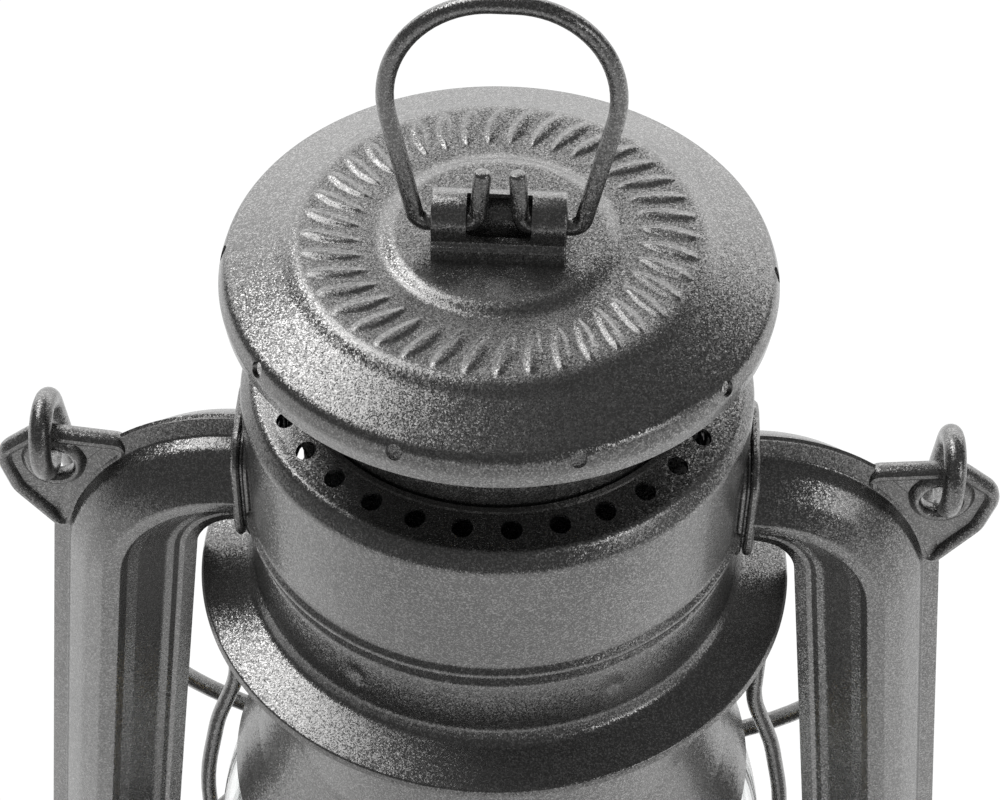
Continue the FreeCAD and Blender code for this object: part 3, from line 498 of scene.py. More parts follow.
def carve(thing, cutters):
    """Cuts the cutters out of a piece and deletes them."""
    for cutter in cutters:
        cut = thing.modifiers.new("cut", "BOOLEAN")
        cut.operation = "DIFFERENCE"
        cut.solver = "EXACT"
        cut.object = cutter
    bpy.context.view_layer.update()
    solid = thing.evaluated_get(bpy.context.evaluated_depsgraph_get())
    mesh = bpy.data.meshes.new_from_object(solid)
    thing.modifiers.clear()
    thing.data = mesh
    smooth(mesh)
    for cutter in cutters:
        bpy.data.objects.remove(cutter)


def pegs(radius, length, places, sides=20):
    """Straight pegs in one object, to cut round holes with.  A place is (centre, direction)."""
    verts = []
    faces = []
    for centre, way in places:
        base = len(verts)
        spin = UP.rotation_difference(way)
        for end in (-length / 2, length / 2):
            verts += [centre + spin @ local for local in round_places(sides, radius, end)]
        faces += bridge(base, base + sides, sides)
        faces.append(tuple(base + k for k in range(sides))[::-1])
        faces.append(tuple(base + sides + k for k in range(sides)))
    return piece("cutter", verts, faces, PAINT)


def upright(places):
    """Places for upright pegs."""
    return [(place, UP) for place in places]


def bent(corners, step):
    """Points along a wire of straight runs and tangent arcs.  A corner is (x, y, z, radius)."""
    spots = [Vector(c[:3]) for c in corners]
    out = [spots[0]]
    for i in range(1, len(spots) - 1):
        back = (spots[i - 1] - spots[i]).normalized()
        on = (spots[i + 1] - spots[i]).normalized()
        half = back.angle(on) / 2
        radius = corners[i][3]
        centre = spots[i] + (back + on).normalized() * (radius / math.sin(half))
        start = spots[i] + back * (radius / math.tan(half)) - centre
        axis = back.cross(on).normalized()
        sweep = math.pi - 2 * half
        pieces = max(2, math.ceil(sweep / step))
        for k in range(pieces + 1):
            turn = Quaternion(axis, -sweep * k / pieces)
            out.append(centre + turn @ start)
    out.append(spots[-1])
    return out


def wire_along(name, points, radius, closed=False):
    """A round painted wire along points, with softened ends."""
    count = len(points)
    ways = []
    for i in range(count):
        before = points[i - 1] if closed or i else points[0]
        after = points[(i + 1) % count] if closed or i + 1 < count else points[-1]
        ways.append((after - before).normalized())
    side = ways[0].orthogonal().normalized()
    rings = []
    for i in range(count):
        if i:
            side = ways[i - 1].rotation_difference(ways[i]) @ side
        side = (side - ways[i] * side.dot(ways[i])).normalized()
        rings.append((points[i], ways[i], side, radius))
    if not closed:
        rings = rounded_end(rings[0], -1)[::-1] + rings[1:-1] + rounded_end(rings[-1], 1)
    verts = []
    for centre, way, across, size in rings:
        up = way.cross(across)
        for angle in turns(WIRE_SIDES):
            verts.append(centre + (across * math.cos(angle) + up * math.sin(angle)) * size)
    faces = []
    total = len(rings)
    for i in range(total if closed else total - 1):
        faces += bridge(i * WIRE_SIDES, ((i + 1) % total) * WIRE_SIDES, WIRE_SIDES)
    if not closed:
        faces.append(tuple(range(WIRE_SIDES))[::-1])
        faces.append(tuple((total - 1) * WIRE_SIDES + k for k in range(WIRE_SIDES)))
    return piece(name, verts, faces, PAINT, crease=50)


def rounded_end(ring, sense):
    """The rings of a softened wire end."""
    centre, way, across, radius = ring
    soft = radius * 0.45
    out = []
    for k in range(4):
        turn = math.pi / 2 * k / 3
        back = soft * (1 - math.sin(turn))
        size = radius - soft * (1 - math.cos(turn))
        out.append((centre - way * sense * back, way, across, size))
    return out


def loft(name, path, section):
    """Sweeps a closed (inward, depth) loop along a path in the XZ plane, with closed ends."""
    verts = []
    count = len(section)
    for i, spot in enumerate(path):
        before = path[max(0, i - 1)]
        after = path[min(len(path) - 1, i + 1)]
        way = (after - before).normalized()
        inward = Vector((way.z, 0, -way.x)) * (1 if spot.x > 0 else -1)
        for across, depth in section:
            verts.append(spot + inward * across + Vector((0, depth, 0)))
    faces = []
    for i in range(len(path) - 1):
        faces += bridge(i * count, (i + 1) * count, count)
    half = count // 2
    for end in (0, (len(path) - 1) * count):
        for k in range(half - 1):
            faces.append((end + k, end + k + 1, end + count - 2 - k, end + count - 1 - k))
    return piece(name, verts, faces, PAINT, crease=38)


def stand_for(thing, body, *nodes, slot="iron_paint"):
    """A finished piece: it rides its body and hides its CAD nodes. The slot argument is not used.
    """
    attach(thing, body)
    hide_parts(*nodes)


# ---------------------------------------------------------------- flat plates


def inset(loop, distance):
    """A closed 2-D loop moved inwards; it runs counter-clockwise."""
    out = []
    for i, spot in enumerate(loop):
        back = (spot - loop[i - 1]).normalized()
        on = (loop[(i + 1) % len(loop)] - spot).normalized()
        way = (back + on).normalized()
        lean = max(0.5, way.dot(back))
        out.append(spot + Vector((-way.y, way.x)) * (distance / lean))
    return out


def hole_loop(x, y, radius):
    """The border of a round hole, which runs clockwise."""
    spots = [
        Vector((x + radius * math.cos(t), y + radius * math.sin(t))) for t in turns(HOLE_SIDES)
    ]
    return spots[::-1]


def skinned(name, borders, put, material=PAINT):
    """A plate between borders.  A border's rows, (loop, height), go from its front to its back."""
    verts = []
    faces = []
    ends = []
    for border in borders:
        base = len(verts)
        size = len(border[0][0])
        for loop, height in border:
            verts += [put(spot, height) for spot in loop]
        for row in range(len(border) - 1):
            faces += bridge(base + row * size, base + (row + 1) * size, size)
        ends.append((base, base + (len(border) - 1) * size, size))
    for which in (0, 1):
        loops = [border[-which][0] for border in borders]
        numbers = [end[which] + k for end in ends for k in range(end[2])]
        flat = [[Vector((p.x, p.y, 0)) for p in loop] for loop in loops]
        for tri in tessellate_polygon(flat):
            faces.append(tuple(numbers[k] for k in tri))
    return piece(name, verts, faces, material)


def both_faces(rows):
    """The rows of a border from its front to its middle, and the same again to its back."""
    return rows + [(loop, -height) for loop, height in rows[::-1]]


def soft_border(loop, half, soft):
    """The rows that round a plate's edge over to both faces."""
    rows = []
    for k in range(4):
        turn = math.pi / 2 * k / 3
        edge = inset(loop, soft * (1 - math.sin(turn)))
        rows.append((edge, half - soft * (1 - math.cos(turn))))
    return both_faces(rows)


def slab(name, outline, holes, half, soft, put, material=PAINT):
    """A flat plate with softened edges, cut from an outline with round holes (x, y, radius)."""
    loops = [outline] + [hole_loop(*hole) for hole in holes]
    return skinned(name, [soft_border(loop, half, soft) for loop in loops], put, material)


# ---------------------------------------------------------------- cap, ring and bracket


def embossed(point):
    """Lifts a ring of slanted strands out of the cap's flat annulus."""
    x, y, z = point
    radius = math.hypot(x, y)
    middle = (EMBOSS_INNER + EMBOSS_OUTER) / 2
    along = (radius - middle) / (EMBOSS_OUTER - middle)
    if abs(along) >= 1 or z < CAP_SHOULDER:
        return point
    turn = math.atan2(y, x) * EMBOSS_COUNT / (2 * math.pi) + EMBOSS_SLANT * along
    across = abs((turn % 1) - 0.5)
    room = EMBOSS_ROOM * math.sqrt(1 - along * along)
    rise = min(1.0, max(0.0, (room - across) / EMBOSS_SLOPE))
    return (x, y, z + EMBOSS_HEIGHT * rise * rise * (3 - 2 * rise))


def make_cap():
    """The pressed cap, with notches for the hot air under its shoulder."""
    corners = [
        (0, CAP_TOP),
        (12.9, CAP_TOP, 3.0),
        (14.4, CAP_TOP - CAP_DROP, 3.0),
        (24.6, CAP_TOP - CAP_DROP, 3.5),
        (26.4, CAP_TOP - 1.75, 4.0),
        (CAP_RADIUS - 0.7, CAP_SHOULDER + 0.5, 1.7),
        (CAP_RADIUS, CAP_SHOULDER - 1.6, 1.7),
        (CAP_RADIUS - 0.3, CAP_EDGE),
    ]
    cap = pressed("cap_shell", corners, longest=0.42, shape=embossed, divisions=640)
    notches = []
    for way in round_places(CAP_VENTS, 1, NOTCH_RISE):
        spot = way * (CAP_RADIUS - 0.2)
        spot.z = CAP_SHOULDER - 0.4
        notches.append((spot, way))
    carve(cap, [pegs(1.0, 2.6, notches)])
    stand_for(cap, "chimney", "cap")


def block(height, sides):
    """A plain box on the axis, to cut with; its sides are along X, Y and Z."""
    x, y, z = (side / 2 for side in sides)
    verts = [Vector((a, b, height + c)) for a in (-x, x) for b in (-y, y) for c in (-z, z)]
    faces = [(0, 1, 3, 2), (4, 6, 7, 5), (0, 4, 5, 1), (2, 3, 7, 6), (0, 2, 6, 4), (1, 5, 7, 3)]
    return piece("cutter", verts, faces, PAINT)


def make_top_ring():
    """The lifting ring; its two ends stand up through the strap's window."""
    corners = [
        (-2.0, PRONG, 0),
        (-2.6, 0, 1.5),
        (-9.7, 0, 1.6),
        (-16.4, RING_TOP, 12),
        (16.4, RING_TOP, 12),
        (9.7, 0, 1.6),
        (2.6, 0, 1.5),
        (2.0, PRONG, 0),
    ]
    line = bent([(x, 0, z, radius) for x, z, radius in corners], math.radians(5))
    lean = Matrix.Rotation(-RING_LEAN, 3, "X")
    axis = Vector((0, RING_Y, RING_Z))
    spots = [axis + lean @ p for p in line]
    stand_for(wire_along("lifting_ring", spots, RING_WIRE), "ring", "top_ring")


def make_bracket():
    """A strap arched over the ring's wire, with a window for the two prongs."""
    corners = [
        (STRAP_BACK + 2.2, CAP_TOP + 0.7, 0.35),
        (STRAP_BACK, CAP_TOP + 0.7, 0.5),
        (STRAP_BACK, STRAP_CROWN, 3.2),
        (STRAP_FRONT, STRAP_CROWN, 3.2),
        (STRAP_FRONT, CAP_TOP + 1.9, 0.6),
        (STRAP_FRONT - 0.7, CAP_TOP + 1.6, 0.5),
        (STRAP_FRONT - 1.0, CAP_TOP - 0.2),
        (STRAP_BACK + 2.2, CAP_TOP - 0.2),
    ]
    outline = rounded(corners, closed=True, step=math.radians(12))
    hollow = ((STRAP_FRONT + STRAP_BACK) / 2, RING_Z - 0.1, 2.6)
    strap = slab("ring_bracket", outline, [hollow], 8.0, 0.3, lambda p, h: (h, p.x, p.y))
    corners = [
        (-WINDOW_HALF, STRAP_CROWN + 3),
        (-WINDOW_HALF, WINDOW_SILL, 1.2),
        (WINDOW_HALF, WINDOW_SILL, 1.2),
        (WINDOW_HALF, STRAP_CROWN + 3),
    ]
    gap = rounded(corners, closed=True, step=math.radians(12))
    window = slab("cutter", gap, [], 4.5, 0.1, lambda p, h: (p.x, RING_Y - 2.7 + h, p.y))
    carve(strap, [window])
    stand_for(strap, "chimney", "cap_bracket")


# ---------------------------------------------------------------- chimney, bell and hood


def make_chimney():
    """The sliding chimney and the bell that stands on the globe."""
    top = CHIMNEY_TOP
    corners = [
        (CHIMNEY_RADIUS, top),
        (CHIMNEY_RADIUS, top - 1.4, 0.4),
        (CHIMNEY_RADIUS + 0.6, top - 2.4, 0.5),
        (CHIMNEY_RADIUS, top - 3.4, 0.4),
        (CHIMNEY_RADIUS, CHIMNEY_BOTTOM),
    ]
    stand_for(pressed("chimney_tube_skin", corners), "chimney", "chimney_tube")
    corners = [
        (25.1, 195.0),
        (28.0, 195.5, 0.8),
        (29.0, 194.1, 1.0),
        (30.8, 174.0, 2.5),
        (34.0, 163.3, 1.2),
        (35.9, 159.0, 1.2),
        (BELL_EDGE, 155.4),
        (BELL_EDGE, 154.6),
    ]
    stand_for(pressed("bell_skin", corners), "chimney", "bell")


def dimpled(point):
    """Presses the two locating dimples into the lower band."""
    x, y, z = point
    for side in (-1, 1):
        across = side * HOOD_RADIUS * DIMPLE_ASIDE
        spot = Vector((across, -HOOD_RADIUS * DIMPLE_FORWARD, DIMPLE_HEIGHT))
        away = (Vector(point) - spot).length
        if away < DIMPLE_RADIUS:
            depth = DIMPLE_DEPTH * (1 + math.cos(math.pi * away / DIMPLE_RADIUS)) / 2
            inward = 1 - depth / HOOD_RADIUS
            return (x * inward, y * inward, z)
    return point


def make_hood():
    """The hood's upper band with its vents, and its lower band with the flared skirt."""
    radius = HOOD_RADIUS
    corners = [
        (26.0, HOOD_TOP + 0.6),
        (29.4, HOOD_TOP - 0.4, 2.0),
        (31.0, HOOD_TOP - 0.7, 1.5),
        (radius, HOOD_TOP - 2.9, 1.5),
        (radius, HOOD_SEAM + 2.3, 0.8),
        (radius + 0.75, HOOD_SEAM + 1.35, 0.7),
        (radius + 0.55, HOOD_SEAM + 0.5, 0.4),
        (radius + 0.1, HOOD_SEAM + 0.1),
    ]
    shell = pressed("hood_band", corners, divisions=360)
    places = round_places(HOOD_VENTS, VENT_CIRCLE, HOOD_TOP)
    ways = round_places(HOOD_VENTS, VENT_LEAN, 1)
    carve(shell, [pegs(1.3, 5, zip(places, ways), 28)])
    stand_for(shell, "frame", "hood_shell")
    corners = [
        (radius - 0.75, HOOD_SEAM + 13),
        (radius - 0.75, HOOD_SEAM - 0.6, 0.5),
        (radius, HOOD_SEAM - 1.6, 0.8),
        (radius, SKIRT_CREASE + 1.6, 1.6),
        (radius + 0.9, SKIRT_CREASE + 0.1, 1.4),
        (SKIRT_RADIUS - 0.3, SKIRT_EDGE + 0.1, 0.4),
        (SKIRT_RADIUS, SKIRT_EDGE - 0.7),
    ]
    skirt = pressed("hood_skirt_skin", corners, longest=0.9, shape=dimpled, divisions=360)
    stand_for(skirt, "frame", "hood_skirt")


# ---------------------------------------------------------------- side tubes


def tube_section():
    """One stamped half in section, from its outer flange to its inner one: (across, depth)."""
    crest = TUBE_HALF + CREST
    corners = [
        (0.4, 0.45),
        (2.6, 1.4, 0.5),
        (3.1, 3.4, 2.2),
        (5.4, 6.3, 4.0),
        (8.2, TUBE_DEPTH + 0.7, 0.6),
        (crest - 0.1, TUBE_DEPTH, 0.45),
        (crest + 0.5, TUBE_DEPTH - 1.7, 0.4),
        (crest + 1.9, TUBE_DEPTH - 2.6, 0.7),
        (crest + 5.2, 2.1, 1.5),
        (16.9, 1.75, 0.45),
        (17.6, 1.15, 0.4),
        (18.2, 1.25, 0.4),
        (2 * TUBE_HALF + 0.3, 0.5),
    ]
    return [(p.x - TUBE_HALF, p.y) for p in thickened(rounded(corners), SHEET - 0.05)]


def tube_path(side):
    """A tube's middle line, from the hood down to the chamber."""
    route = [
        (DUCT_START - 0.8, DUCT_Z),
        (UPPER_CORNER, DUCT_Z, UPPER_BEND),
        (LOWER_CORNER, FOOT_Z, LOWER_BEND),
        (FOOT_END - 0.8, FOOT_Z),
    ]
    line = rounded(route, step=math.radians(2.5))
    return [Vector((side * p.x, 0, p.y)) for p in line]


def oblong(half_height, half_depth, radius, grow):
    """A rounded oblong of (Y, Z) points about the origin, grown all round."""
    out = []
    size = radius + grow
    for quarter in range(4):
        turn = math.pi / 2 * quarter
        way = (1 if quarter in (0, 3) else -1, 1 if quarter in (0, 1) else -1)
        centre = (way[0] * (half_depth - radius), way[1] * (half_height - radius))
        for k in range(13):
            angle = turn + math.pi / 2 * k / 12
            out.append((centre[0] + size * math.cos(angle), centre[1] + size * math.sin(angle)))
    return out


def collar(name, side, height, half_height, rows):
    """A pressed collar round a tube's end.  Rows are (distance from the axis, growth)."""
    verts = []
    for reach, grow in rows:
        outline = oblong(half_height, TUBE_DEPTH, 4, grow)
        verts += [(side * reach, y, height + z) for y, z in outline]
    size = len(outline)
    faces = []
    for row in range(len(rows)):
        faces += bridge(row * size, ((row + 1) % len(rows)) * size, size)
    return piece(name, verts, faces, PAINT, 40)


def collar_rows(wall, end, margin):
    """Two rolled beads at the collar's end and a plain sleeve back to the wall."""
    return [
        (wall, margin - 0.9),
        (end - 2.65, margin - 0.9),
        (end - 2.5, margin - 0.3),
        (end - 2.2, margin),
        (end - 1.9, margin),
        (end - 1.6, margin - 0.3),
        (end - 1.5, margin - 1.0),
        (end - 1.3, margin - 1.0),
        (end - 1.2, margin - 0.3),
        (end - 0.9, margin),
        (end - 0.5, margin),
        (end - 0.15, margin - 0.3),
        (end, margin - 0.8),
        (end - 0.1, margin - 1.4),
        (end - 0.4, COLLAR_BORE),
        (wall, COLLAR_BORE),
    ]


def ear_outline(side):
    """The lug's outline: its inner side follows the tube's bend, under the flange."""
    low, high = math.radians(20), math.radians(48)

    def on_bend(turn, away, along):
        return Vector(EAR_BEND) + Matrix.Rotation(turn, 2) @ Vector((away, along))

    hollow = on_bend((low + high) / 2, EAR_INNER / math.cos((high - low) / 2), 0)
    top = on_bend(high, EAR_INNER, 5.6)
    bottom = on_bend(low, EAR_INNER, -6.7)
    corners = [
        (hollow.x, hollow.y, EAR_INNER),
        (top.x, top.y, 2.1),
        (EAR_X - 6.0, EAR_Z + 5.2, 6),
        (EAR_X + 1.6, EAR_Z + 6.1, 4.0),
        (EAR_X + 7.6, EAR_Z + 1.4, 3.6),
        (EAR_X + 5.8, EAR_Z - 5.4, 4.5),
        (bottom.x, bottom.y, 2.0),
    ]
    line = rounded(corners, closed=True, step=math.radians(9))
    spots = [Vector((side * p.x, p.y)) for p in line]
    area = sum(a.cross(b) for a, b in zip(spots, spots[1:] + spots[:1]))
    return spots if area > 0 else spots[::-1]


def make_ear(name, side):
    """A lug with a raised rim, and an eyelet for the bail."""
    outline = ear_outline(side)
    rim = [(1.95, 0.4), (1.75, 0.7), (1.45, 1.2), (1.0, 1.45), (0.55, 1.35), (0.2, 0.95), (0, 0.4)]
    lip = [(4.4, 0.4), (4.1, 0.8), (3.7, 1.25), (3.3, 1.4), (2.95, 1.3), (2.6, 0.85), (2.5, 0.3)]
    edge = [(inset(outline, inward), height) for inward, height in rim]
    eye_x = side * (EAR_X - EYELET_INSET)
    eyelet = [(hole_loop(eye_x, EAR_Z, radius), height) for radius, height in lip]
    borders = [both_faces(edge), both_faces(eyelet)]
    return skinned(name, borders, lambda p, h: (p.x, -h, p.y))


def make_tubes():
    """The stamped halves of both tubes, the collars at their ends, and the ears."""
    section = tube_section()
    upper_rows = collar_rows(31.0, 33.9, 0.7)
    lower_rows = collar_rows(34.0, FOOT_END, 0.8)
    for side, word in SIDES:
        path = tube_path(side)
        for face, look in FACES:
            half = [(across, face * depth) for across, depth in section]
            node = f"tube_{look}_{word}"
            stand_for(loft(f"air_{node}", path, half), "frame", node)
        top = collar(f"collar_{word}", side, DUCT_Z + 1.8, 8.2, upper_rows)
        stand_for(top, "frame", f"hood_collar_{word}")
        foot = collar(f"foot_collar_{word}", side, FOOT_Z, TUBE_HALF, lower_rows)
        stand_for(foot, "frame", f"tube_foot_{word}")
        stand_for(make_ear(f"bail_ear_{word}", side), "frame", f"ear_{word}")


# ---------------------------------------------------------------- wires


def make_bail():
    """The bail, hanging behind the lantern, with an eye through each ear."""

    def eye(side):
        bends = [math.radians(-70 - 290 * k / 48) for k in range(49)]
        return [Vector((side * EAR_X, EYE * math.cos(t), EYE * math.sin(t))) for t in bends]

    corners = [
        (-EAR_X, EYE, 0, 0),
        (-EAR_X, EYE, -BAIL_LENGTH, BAIL_CORNER),
        (EAR_X, EYE, -BAIL_LENGTH, BAIL_CORNER),
        (EAR_X, EYE, 0, 0),
    ]
    bow = bent(corners, math.radians(4))
    lean = Matrix.Rotation(BAIL_LEAN, 3, "X")
    pivot = Vector((0, 0, EAR_Z + EYE))
    spots = [pivot + lean @ p for p in eye(-1) + bow[1:-1] + eye(1)[::-1]]
    stand_for(wire_along("bail_wire", spots, BAIL_WIRE), "bail", "bail")


def make_carrier():
    """The wires that carry the globe, the hoop they hold, and the guard wires of the frame."""
    corners = [
        (32.5, 0, 89.6, 0),
        (36.5, 0, 89.6, 3),
        (44.0, 0, 103.0, 24),
        (47.0, 0, 128.0, 60),
        (43.3, 0, 147.0, 40),
        (39.4, 0, 158.5, 20),
        (39.4, 0, 172.0, 8),
        (HOOP_RADIUS, 0, HOOP_Z, 0),
    ]
    line = bent(corners, math.radians(3))
    for side, word in SIDES:
        spin = Matrix.Rotation(CARRIER_TURN if side > 0 else math.pi - CARRIER_TURN, 3, "Z")
        arm = wire_along(f"globe_wire_{word}", [spin @ p for p in line], CARRIER_WIRE)
        stand_for(arm, "carrier", f"carrier_wire_{word}")
    hoop = wire_along("globe_hoop", round_places(120, HOOP_RADIUS, HOOP_Z), THIN_WIRE, closed=True)
    stand_for(hoop, "carrier", "carrier_hoop")
    for face, word in FACES:
        left = [
            (-52.0, face * 1.6, GUARD_Z + 2, 0),
            (-45.6, face * 17.0, GUARD_Z, 14),
            (-22.0, face * 42.4, GUARD_Z, 26),
        ]
        right = [(-x, y, z, radius) for x, y, z, radius in left[::-1]]
        guard = wire_along(f"guard_wire_{word}", bent(left + right, math.radians(4)), THIN_WIRE)
        stand_for(guard, "frame", f"guard_{word}")


# ---------------------------------------------------------------- globe and its plate


def make_globe():
    """The glass, and the vented plate it stands on."""
    corners = [
        (28.5, GLOBE_FOOT),
        (GLOBE_RADIUS, 109.3, 90),
        (GLOBE_RADIUS, 151.3, 31),
        (GLOBE_NECK, 162.0, 3),
        (GLOBE_NECK, 170.0),
    ]
    line = rounded(corners, step=math.radians(2.5))
    glass = lathe("globe_glass", thickened(line[::-1], GLASS_WALL), GLASS, 200, crease=50)
    stand_for(glass, "carrier", "globe", slot="clear_glass")
    corners = [
        (PLATE_HOLE, 89.2),
        (PLATE_HOLE, 87.2, 0.6),
        (28.0, 87.2, 0.6),
        (29.4, 88.4, 0.6),
        (34.0, 88.4),
    ]
    plate = pressed("globe_plate_skin", corners)
    carve(plate, [pegs(1.2, 6, upright(round_places(PLATE_VENTS, 23.0, 87.0)))])
    stand_for(plate, "carrier", "globe_plate")


# ---------------------------------------------------------------- tank, burner and filler


def filler_place(height):
    """A point on the filler's axis."""
    x, y = FILLER_REACH * math.cos(FILLER_TURN), FILLER_REACH * math.sin(FILLER_TURN)
    return Vector((x, y, height))


def make_tank():
    """The tank's two halves, and the chamber on top of it."""
    corners = [
        (0, 2.5),
        (47.5, 2.5, 1.5),
        (49.0, 0.35, 0.5),
        (54.0, 0.35, 1.5),
        (TANK_RADIUS, 4.2, 3),
        (TANK_RADIUS, TANK_SEAM),
    ]
    bottom = lathe("tank_base", thickened(rounded(corners)[::-1], SHEET), PAINT)
    stand_for(bottom, "frame", "tank_bottom")
    corners = [
        (16.0, 48.0),
        (38.0, 48.0, 1.5),
        (40.0, 47.2, 3),
        (TANK_RADIUS, 35.0, 7),
        (TANK_RADIUS, 28.3, 0.5),
        (58.4, 27.0, 0.7),
        (58.4, 24.6, 0.5),
        (57.7, TANK_SEAM),
    ]
    top = pressed("tank_shoulder", corners)
    carve(top, [pegs(FILLER_HOLE, 20, upright([filler_place(42)]), 48)])
    stand_for(top, "frame", "tank_top")
    corners = [
        (17.1, 82.0),
        (28.6, 82.0, 2),
        (CHAMBER, 77.2, 2.5),
        (CHAMBER, 74.2, 0.6),
        (36.5, 73.6, 0.5),
        (CHAMBER, 73.0, 0.6),
        (CHAMBER, 55.4, 0.6),
        (36.5, 54.8, 0.5),
        (CHAMBER, 54.2, 0.6),
        (CHAMBER, 49.8, 1.2),
        (38.0, 48.1),
    ]
    stand_for(pressed("chamber_skin", corners), "frame", "air_chamber")


def grooved(radius, depth, low, high):
    """The knurling of a turned piece's rim, between two heights."""

    def shape(point):
        x, y, z = point
        reach = math.hypot(x, y)
        if reach < radius - 0.5 or not low < z < high:
            return point
        turn = math.atan2(y, x) * GRIPS
        inward = 1 - depth * (0.5 - 0.5 * math.cos(turn)) / reach
        return (x * inward, y * inward, z)

    return shape


def move_mesh(thing, spin, place):
    """Moves a piece turned about Z to its own axis, for good."""
    thing.data.transform(Matrix.Translation(place * MM) @ spin)


def make_filler():
    """The tank's knurled cap."""
    corners = [
        (0, 59.2),
        (4.0, 59.2, 0.3),
        (5.0, 60.0, 0.4),
        (FILLER_CAP, 60.0, 1.3),
        (FILLER_CAP, 50.5, 0.3),
        (7.8, 50.5, 0.3),
        (7.8, 57.2, 0.3),
        (0, 57.2),
    ]
    loop = refine(rounded(corners), 1.0)
    shape = grooved(FILLER_CAP, 0.5, 51.0, 58.9)
    cap = lathe("filler_cap_knurled", loop, PAINT, KNURLED_TURN, shape)
    move_mesh(cap, Matrix.Identity(4), filler_place(0))
    stand_for(cap, "filler", "filler_cap")


def make_burner():
    """The flame dome, and the wick under its slot."""
    corners = [
        (0, DOME_TOP),
        (6.0, DOME_TOP, 6),
        (13.5, 98.0, 5),
        (16.4, 91.0, 0.8),
        (16.4, 87.0),
    ]
    dome = pressed("burner_dome_skin", corners, BRASS, sheet=0.6, divisions=192)
    slot = block(DOME_TOP, (5.2, 15, 12))
    vents = pegs(0.8, 12, upright(round_places(DOME_VENTS, 12.9, 97, start=0.5)))
    carve(dome, [slot, vents])
    stand_for(dome, "frame", "burner_dome", slot="brass")
    x, y = WICK_HALF
    corners = [(-x, -y, 0.7), (x, -y, 0.7), (x, y, 0.7), (-x, y, 0.7)]
    outline = rounded(corners, closed=True, step=math.radians(15))
    middle = (WICK_TOP + WICK_BOTTOM) / 2
    half = (WICK_TOP - WICK_BOTTOM) / 2

    def put(spot, height):
        return (spot.x, spot.y, middle + height)

    ribbon = slab("wick_ribbon", outline, [], half, 0.25, put, COTTON)
    stand_for(ribbon, "wick", "wick", slot="cotton")


def make_knob():
    """The knurled knob that raises the wick."""
    corners = [
        (0, 51.6),
        (2.6, 52.1, 0.5),
        (3.2, 52.2, 0.5),
        (KNOB_RADIUS, 52.2, 0.6),
        (KNOB_RADIUS, 50.0, 0.6),
        (3.0, 50.0, 0.3),
        (3.0, 48.5, 0.3),
        (0, 48.5),
    ]
    loop = refine(rounded(corners), 0.7)
    shape = grooved(KNOB_RADIUS, 0.4, 49.0, 53.0)
    knob = lathe("wick_knob_knurled", loop, BRASS, KNURLED_TURN, shape)
    move_mesh(knob, Matrix.Rotation(math.pi / 2, 4, "X"), Vector((SHAFT_X, 0, SHAFT_Z)))
    stand_for(knob, "wick_feed", "wick_knob", slot="brass")


def make_lever():
    """The lever: its toe lies under the plate's rim, its tail is the finger tab."""
    toe = PLATE_Z + PLATE_LIP - LEVER_Z - FIT_GAP
    corners = [
        (-LEVER_ARM, toe, 0.3),
        (-LEVER_ARM, -0.8, 1),
        (-7, -2.8, 3),
        (4, -3, 3),
        (16, 1, 6),
        (27, 2, 1.4),
        (27, 5.2, 1.4),
        (14, 4.6, 5),
        (3, 3, 3),
        (-5, 0.6, 3),
        (-LEVER_ARM + 4.5, toe, 0.3),
    ]
    outline = rounded(corners, closed=True)

    def put(spot, height):
        return (LEVER_X + spot.x, LEVER_Y - height, LEVER_Z + spot.y)

    lever = slab("lift_lever_plate", outline, [(0, 0, 1.25)], 0.8, 0.25, put)
    stand_for(lever, "lever", "lift_lever")


PLAIN_SLOTS = {
    "filler_gasket": "rubber",
    "burner_body": "brass",
    "wick_tube": "brass",
    "wick_shaft": "spring_steel",
    "wick_wheels": "brass",
    "chimney_spring": "spring_steel",
}


def paint_the_rest():
    """The CAD nodes that show as they are take the finish of their slot."""
    for name, node in NODES.items():
        if node.hide_render:
            continue
        slot = PLAIN_SLOTS.get(name, "iron_paint")
        node.data.materials.clear()
        node.data.materials.append(BY_SLOT[slot])


# ---------------------------------------------------------------- surroundings


def make_floor():
    """A white table that glows, a little less in front of the lantern."""
    mesh = bpy.data.meshes.new("floor")
    ways = ((-1, -1), (1, -1), (1, 1), (-1, 1))
    corners = [(FLOOR_HALF * x, FLOOR_HALF * y, FLOOR_Z) for x, y in ways]
    mesh.from_pydata(corners, [], [(0, 1, 2, 3)])
    table = Finish("white_table")
    table.nodes.remove(table.shader)
    _, back, _ = table.add("ShaderNodeSeparateXYZ", Vector=table.where).outputs
    fade = table.spread(back, FLOOR_FADE, FLOOR_GLOW, "SMOOTHSTEP")
    glow = table.add("ShaderNodeEmission", Strength=fade)
    table.put(table.nodes["Material Output"].inputs["Surface"], glow.outputs[0])
    mesh.materials.append(table.material)
    floor = bpy.data.objects.new("floor", mesh)
    bpy.context.scene.collection.objects.link(floor)


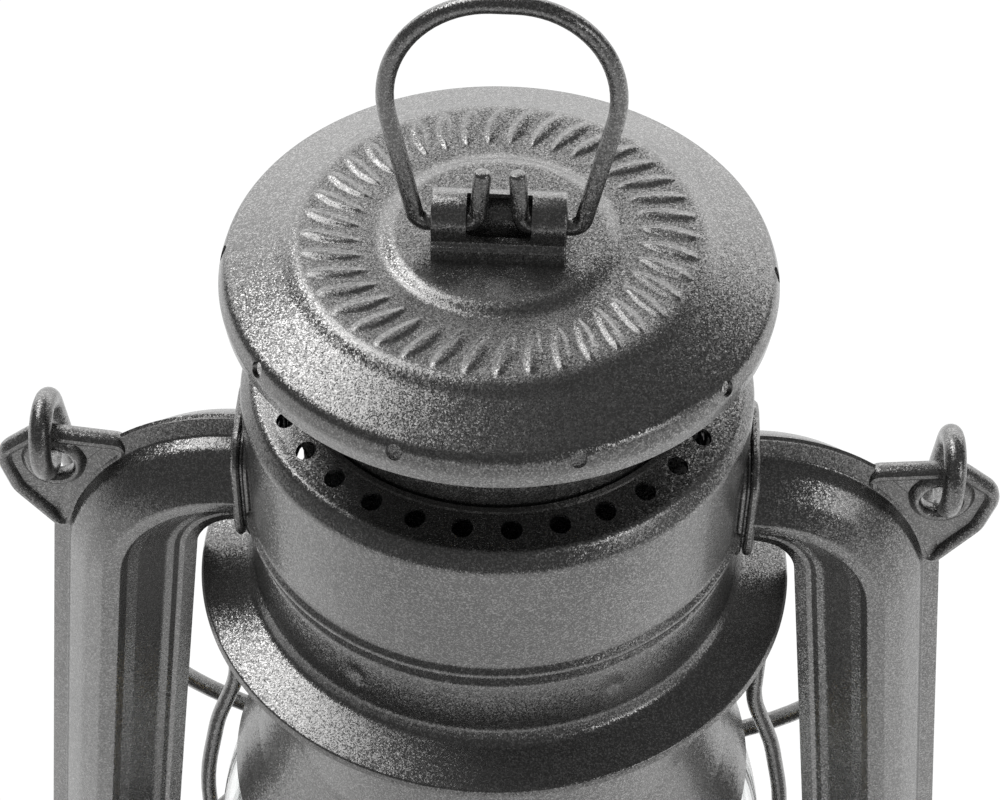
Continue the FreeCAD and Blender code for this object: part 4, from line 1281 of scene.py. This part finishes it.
def make_world():
    """A bright white wall behind, which fades out above and at the sides, in a dark room."""
    world = bpy.data.worlds.new("studio")
    bpy.context.scene.world = world
    sky = Graph(world, "Generated")
    across, back, up = sky.add("ShaderNodeSeparateXYZ", Vector=sky.where).outputs
    ahead = sky.math("MAXIMUM", back, 0.001)
    height = sky.math("DIVIDE", up, ahead)
    sideways = sky.math("DIVIDE", sky.math("ABSOLUTE", across), ahead)
    below = sky.spread(height, WALL_TOP, (1.0, 0.0), "SMOOTHSTEP")
    between = sky.spread(sideways, WALL_SIDE, (1.0, 0.0), "SMOOTHSTEP")
    wall = sky.math("MULTIPLY", below, between)
    level = sky.spread(wall, (0.0, 1.0), (ROOM_LEVEL, WALL_LEVEL), "SMOOTHSTEP")
    background = sky.nodes["Background"]
    sky.put(background.inputs["Color"], level)
    sky.put(background.inputs["Strength"], 1.0)


def softbox(name, way, distance, size, power):
    """A square light that faces the lantern's hood from a direction."""
    light = bpy.data.lights.new(name, "AREA")
    light.shape = "RECTANGLE"
    light.size = size
    light.size_y = size
    light.energy = power
    lamp = bpy.data.objects.new(name, light)
    heading = Vector(way).normalized()
    lamp.location = LIT_POINT + heading * distance
    lamp.rotation_mode = "QUATERNION"
    lamp.rotation_quaternion = heading.to_track_quat("Z", "Y")
    bpy.context.scene.collection.objects.link(lamp)


def make_camera():
    """The camera looks down on the cap from the front."""
    level = math.cos(CAMERA_ELEVATION)
    across, forward = math.sin(CAMERA_AZIMUTH) * level, math.cos(CAMERA_AZIMUTH) * level
    away = Vector((across, -forward, math.sin(CAMERA_ELEVATION)))
    camera = bpy.data.objects.new("camera", bpy.data.cameras.new("camera"))
    camera.data.lens = CAMERA_LENS
    camera.data.sensor_width = 36
    camera.data.shift_x = CAMERA_SHIFT
    camera.data.clip_start = 0.01
    camera.location = CAMERA_TARGET + away * CAMERA_DISTANCE
    camera.rotation_mode = "QUATERNION"
    roll = Quaternion(UP, CAMERA_ROLL)
    camera.rotation_quaternion = away.to_track_quat("Z", "Y") @ roll
    bpy.context.scene.collection.objects.link(camera)
    bpy.context.scene.camera = camera


make_cap()
make_top_ring()
make_bracket()
make_chimney()
make_hood()
make_tubes()
make_bail()
make_carrier()
make_globe()
make_tank()
make_filler()
make_burner()
make_knob()
make_lever()
paint_the_rest()
make_floor()
make_world()
softbox("key", (-0.41, 0.34, 0.84), distance=0.9, size=0.46, power=3.0)
softbox("fill", (0.75, -0.45, 0.45), distance=1.0, size=0.35, power=1)
make_camera()
bpy.context.scene.view_settings.view_transform = "Standard"
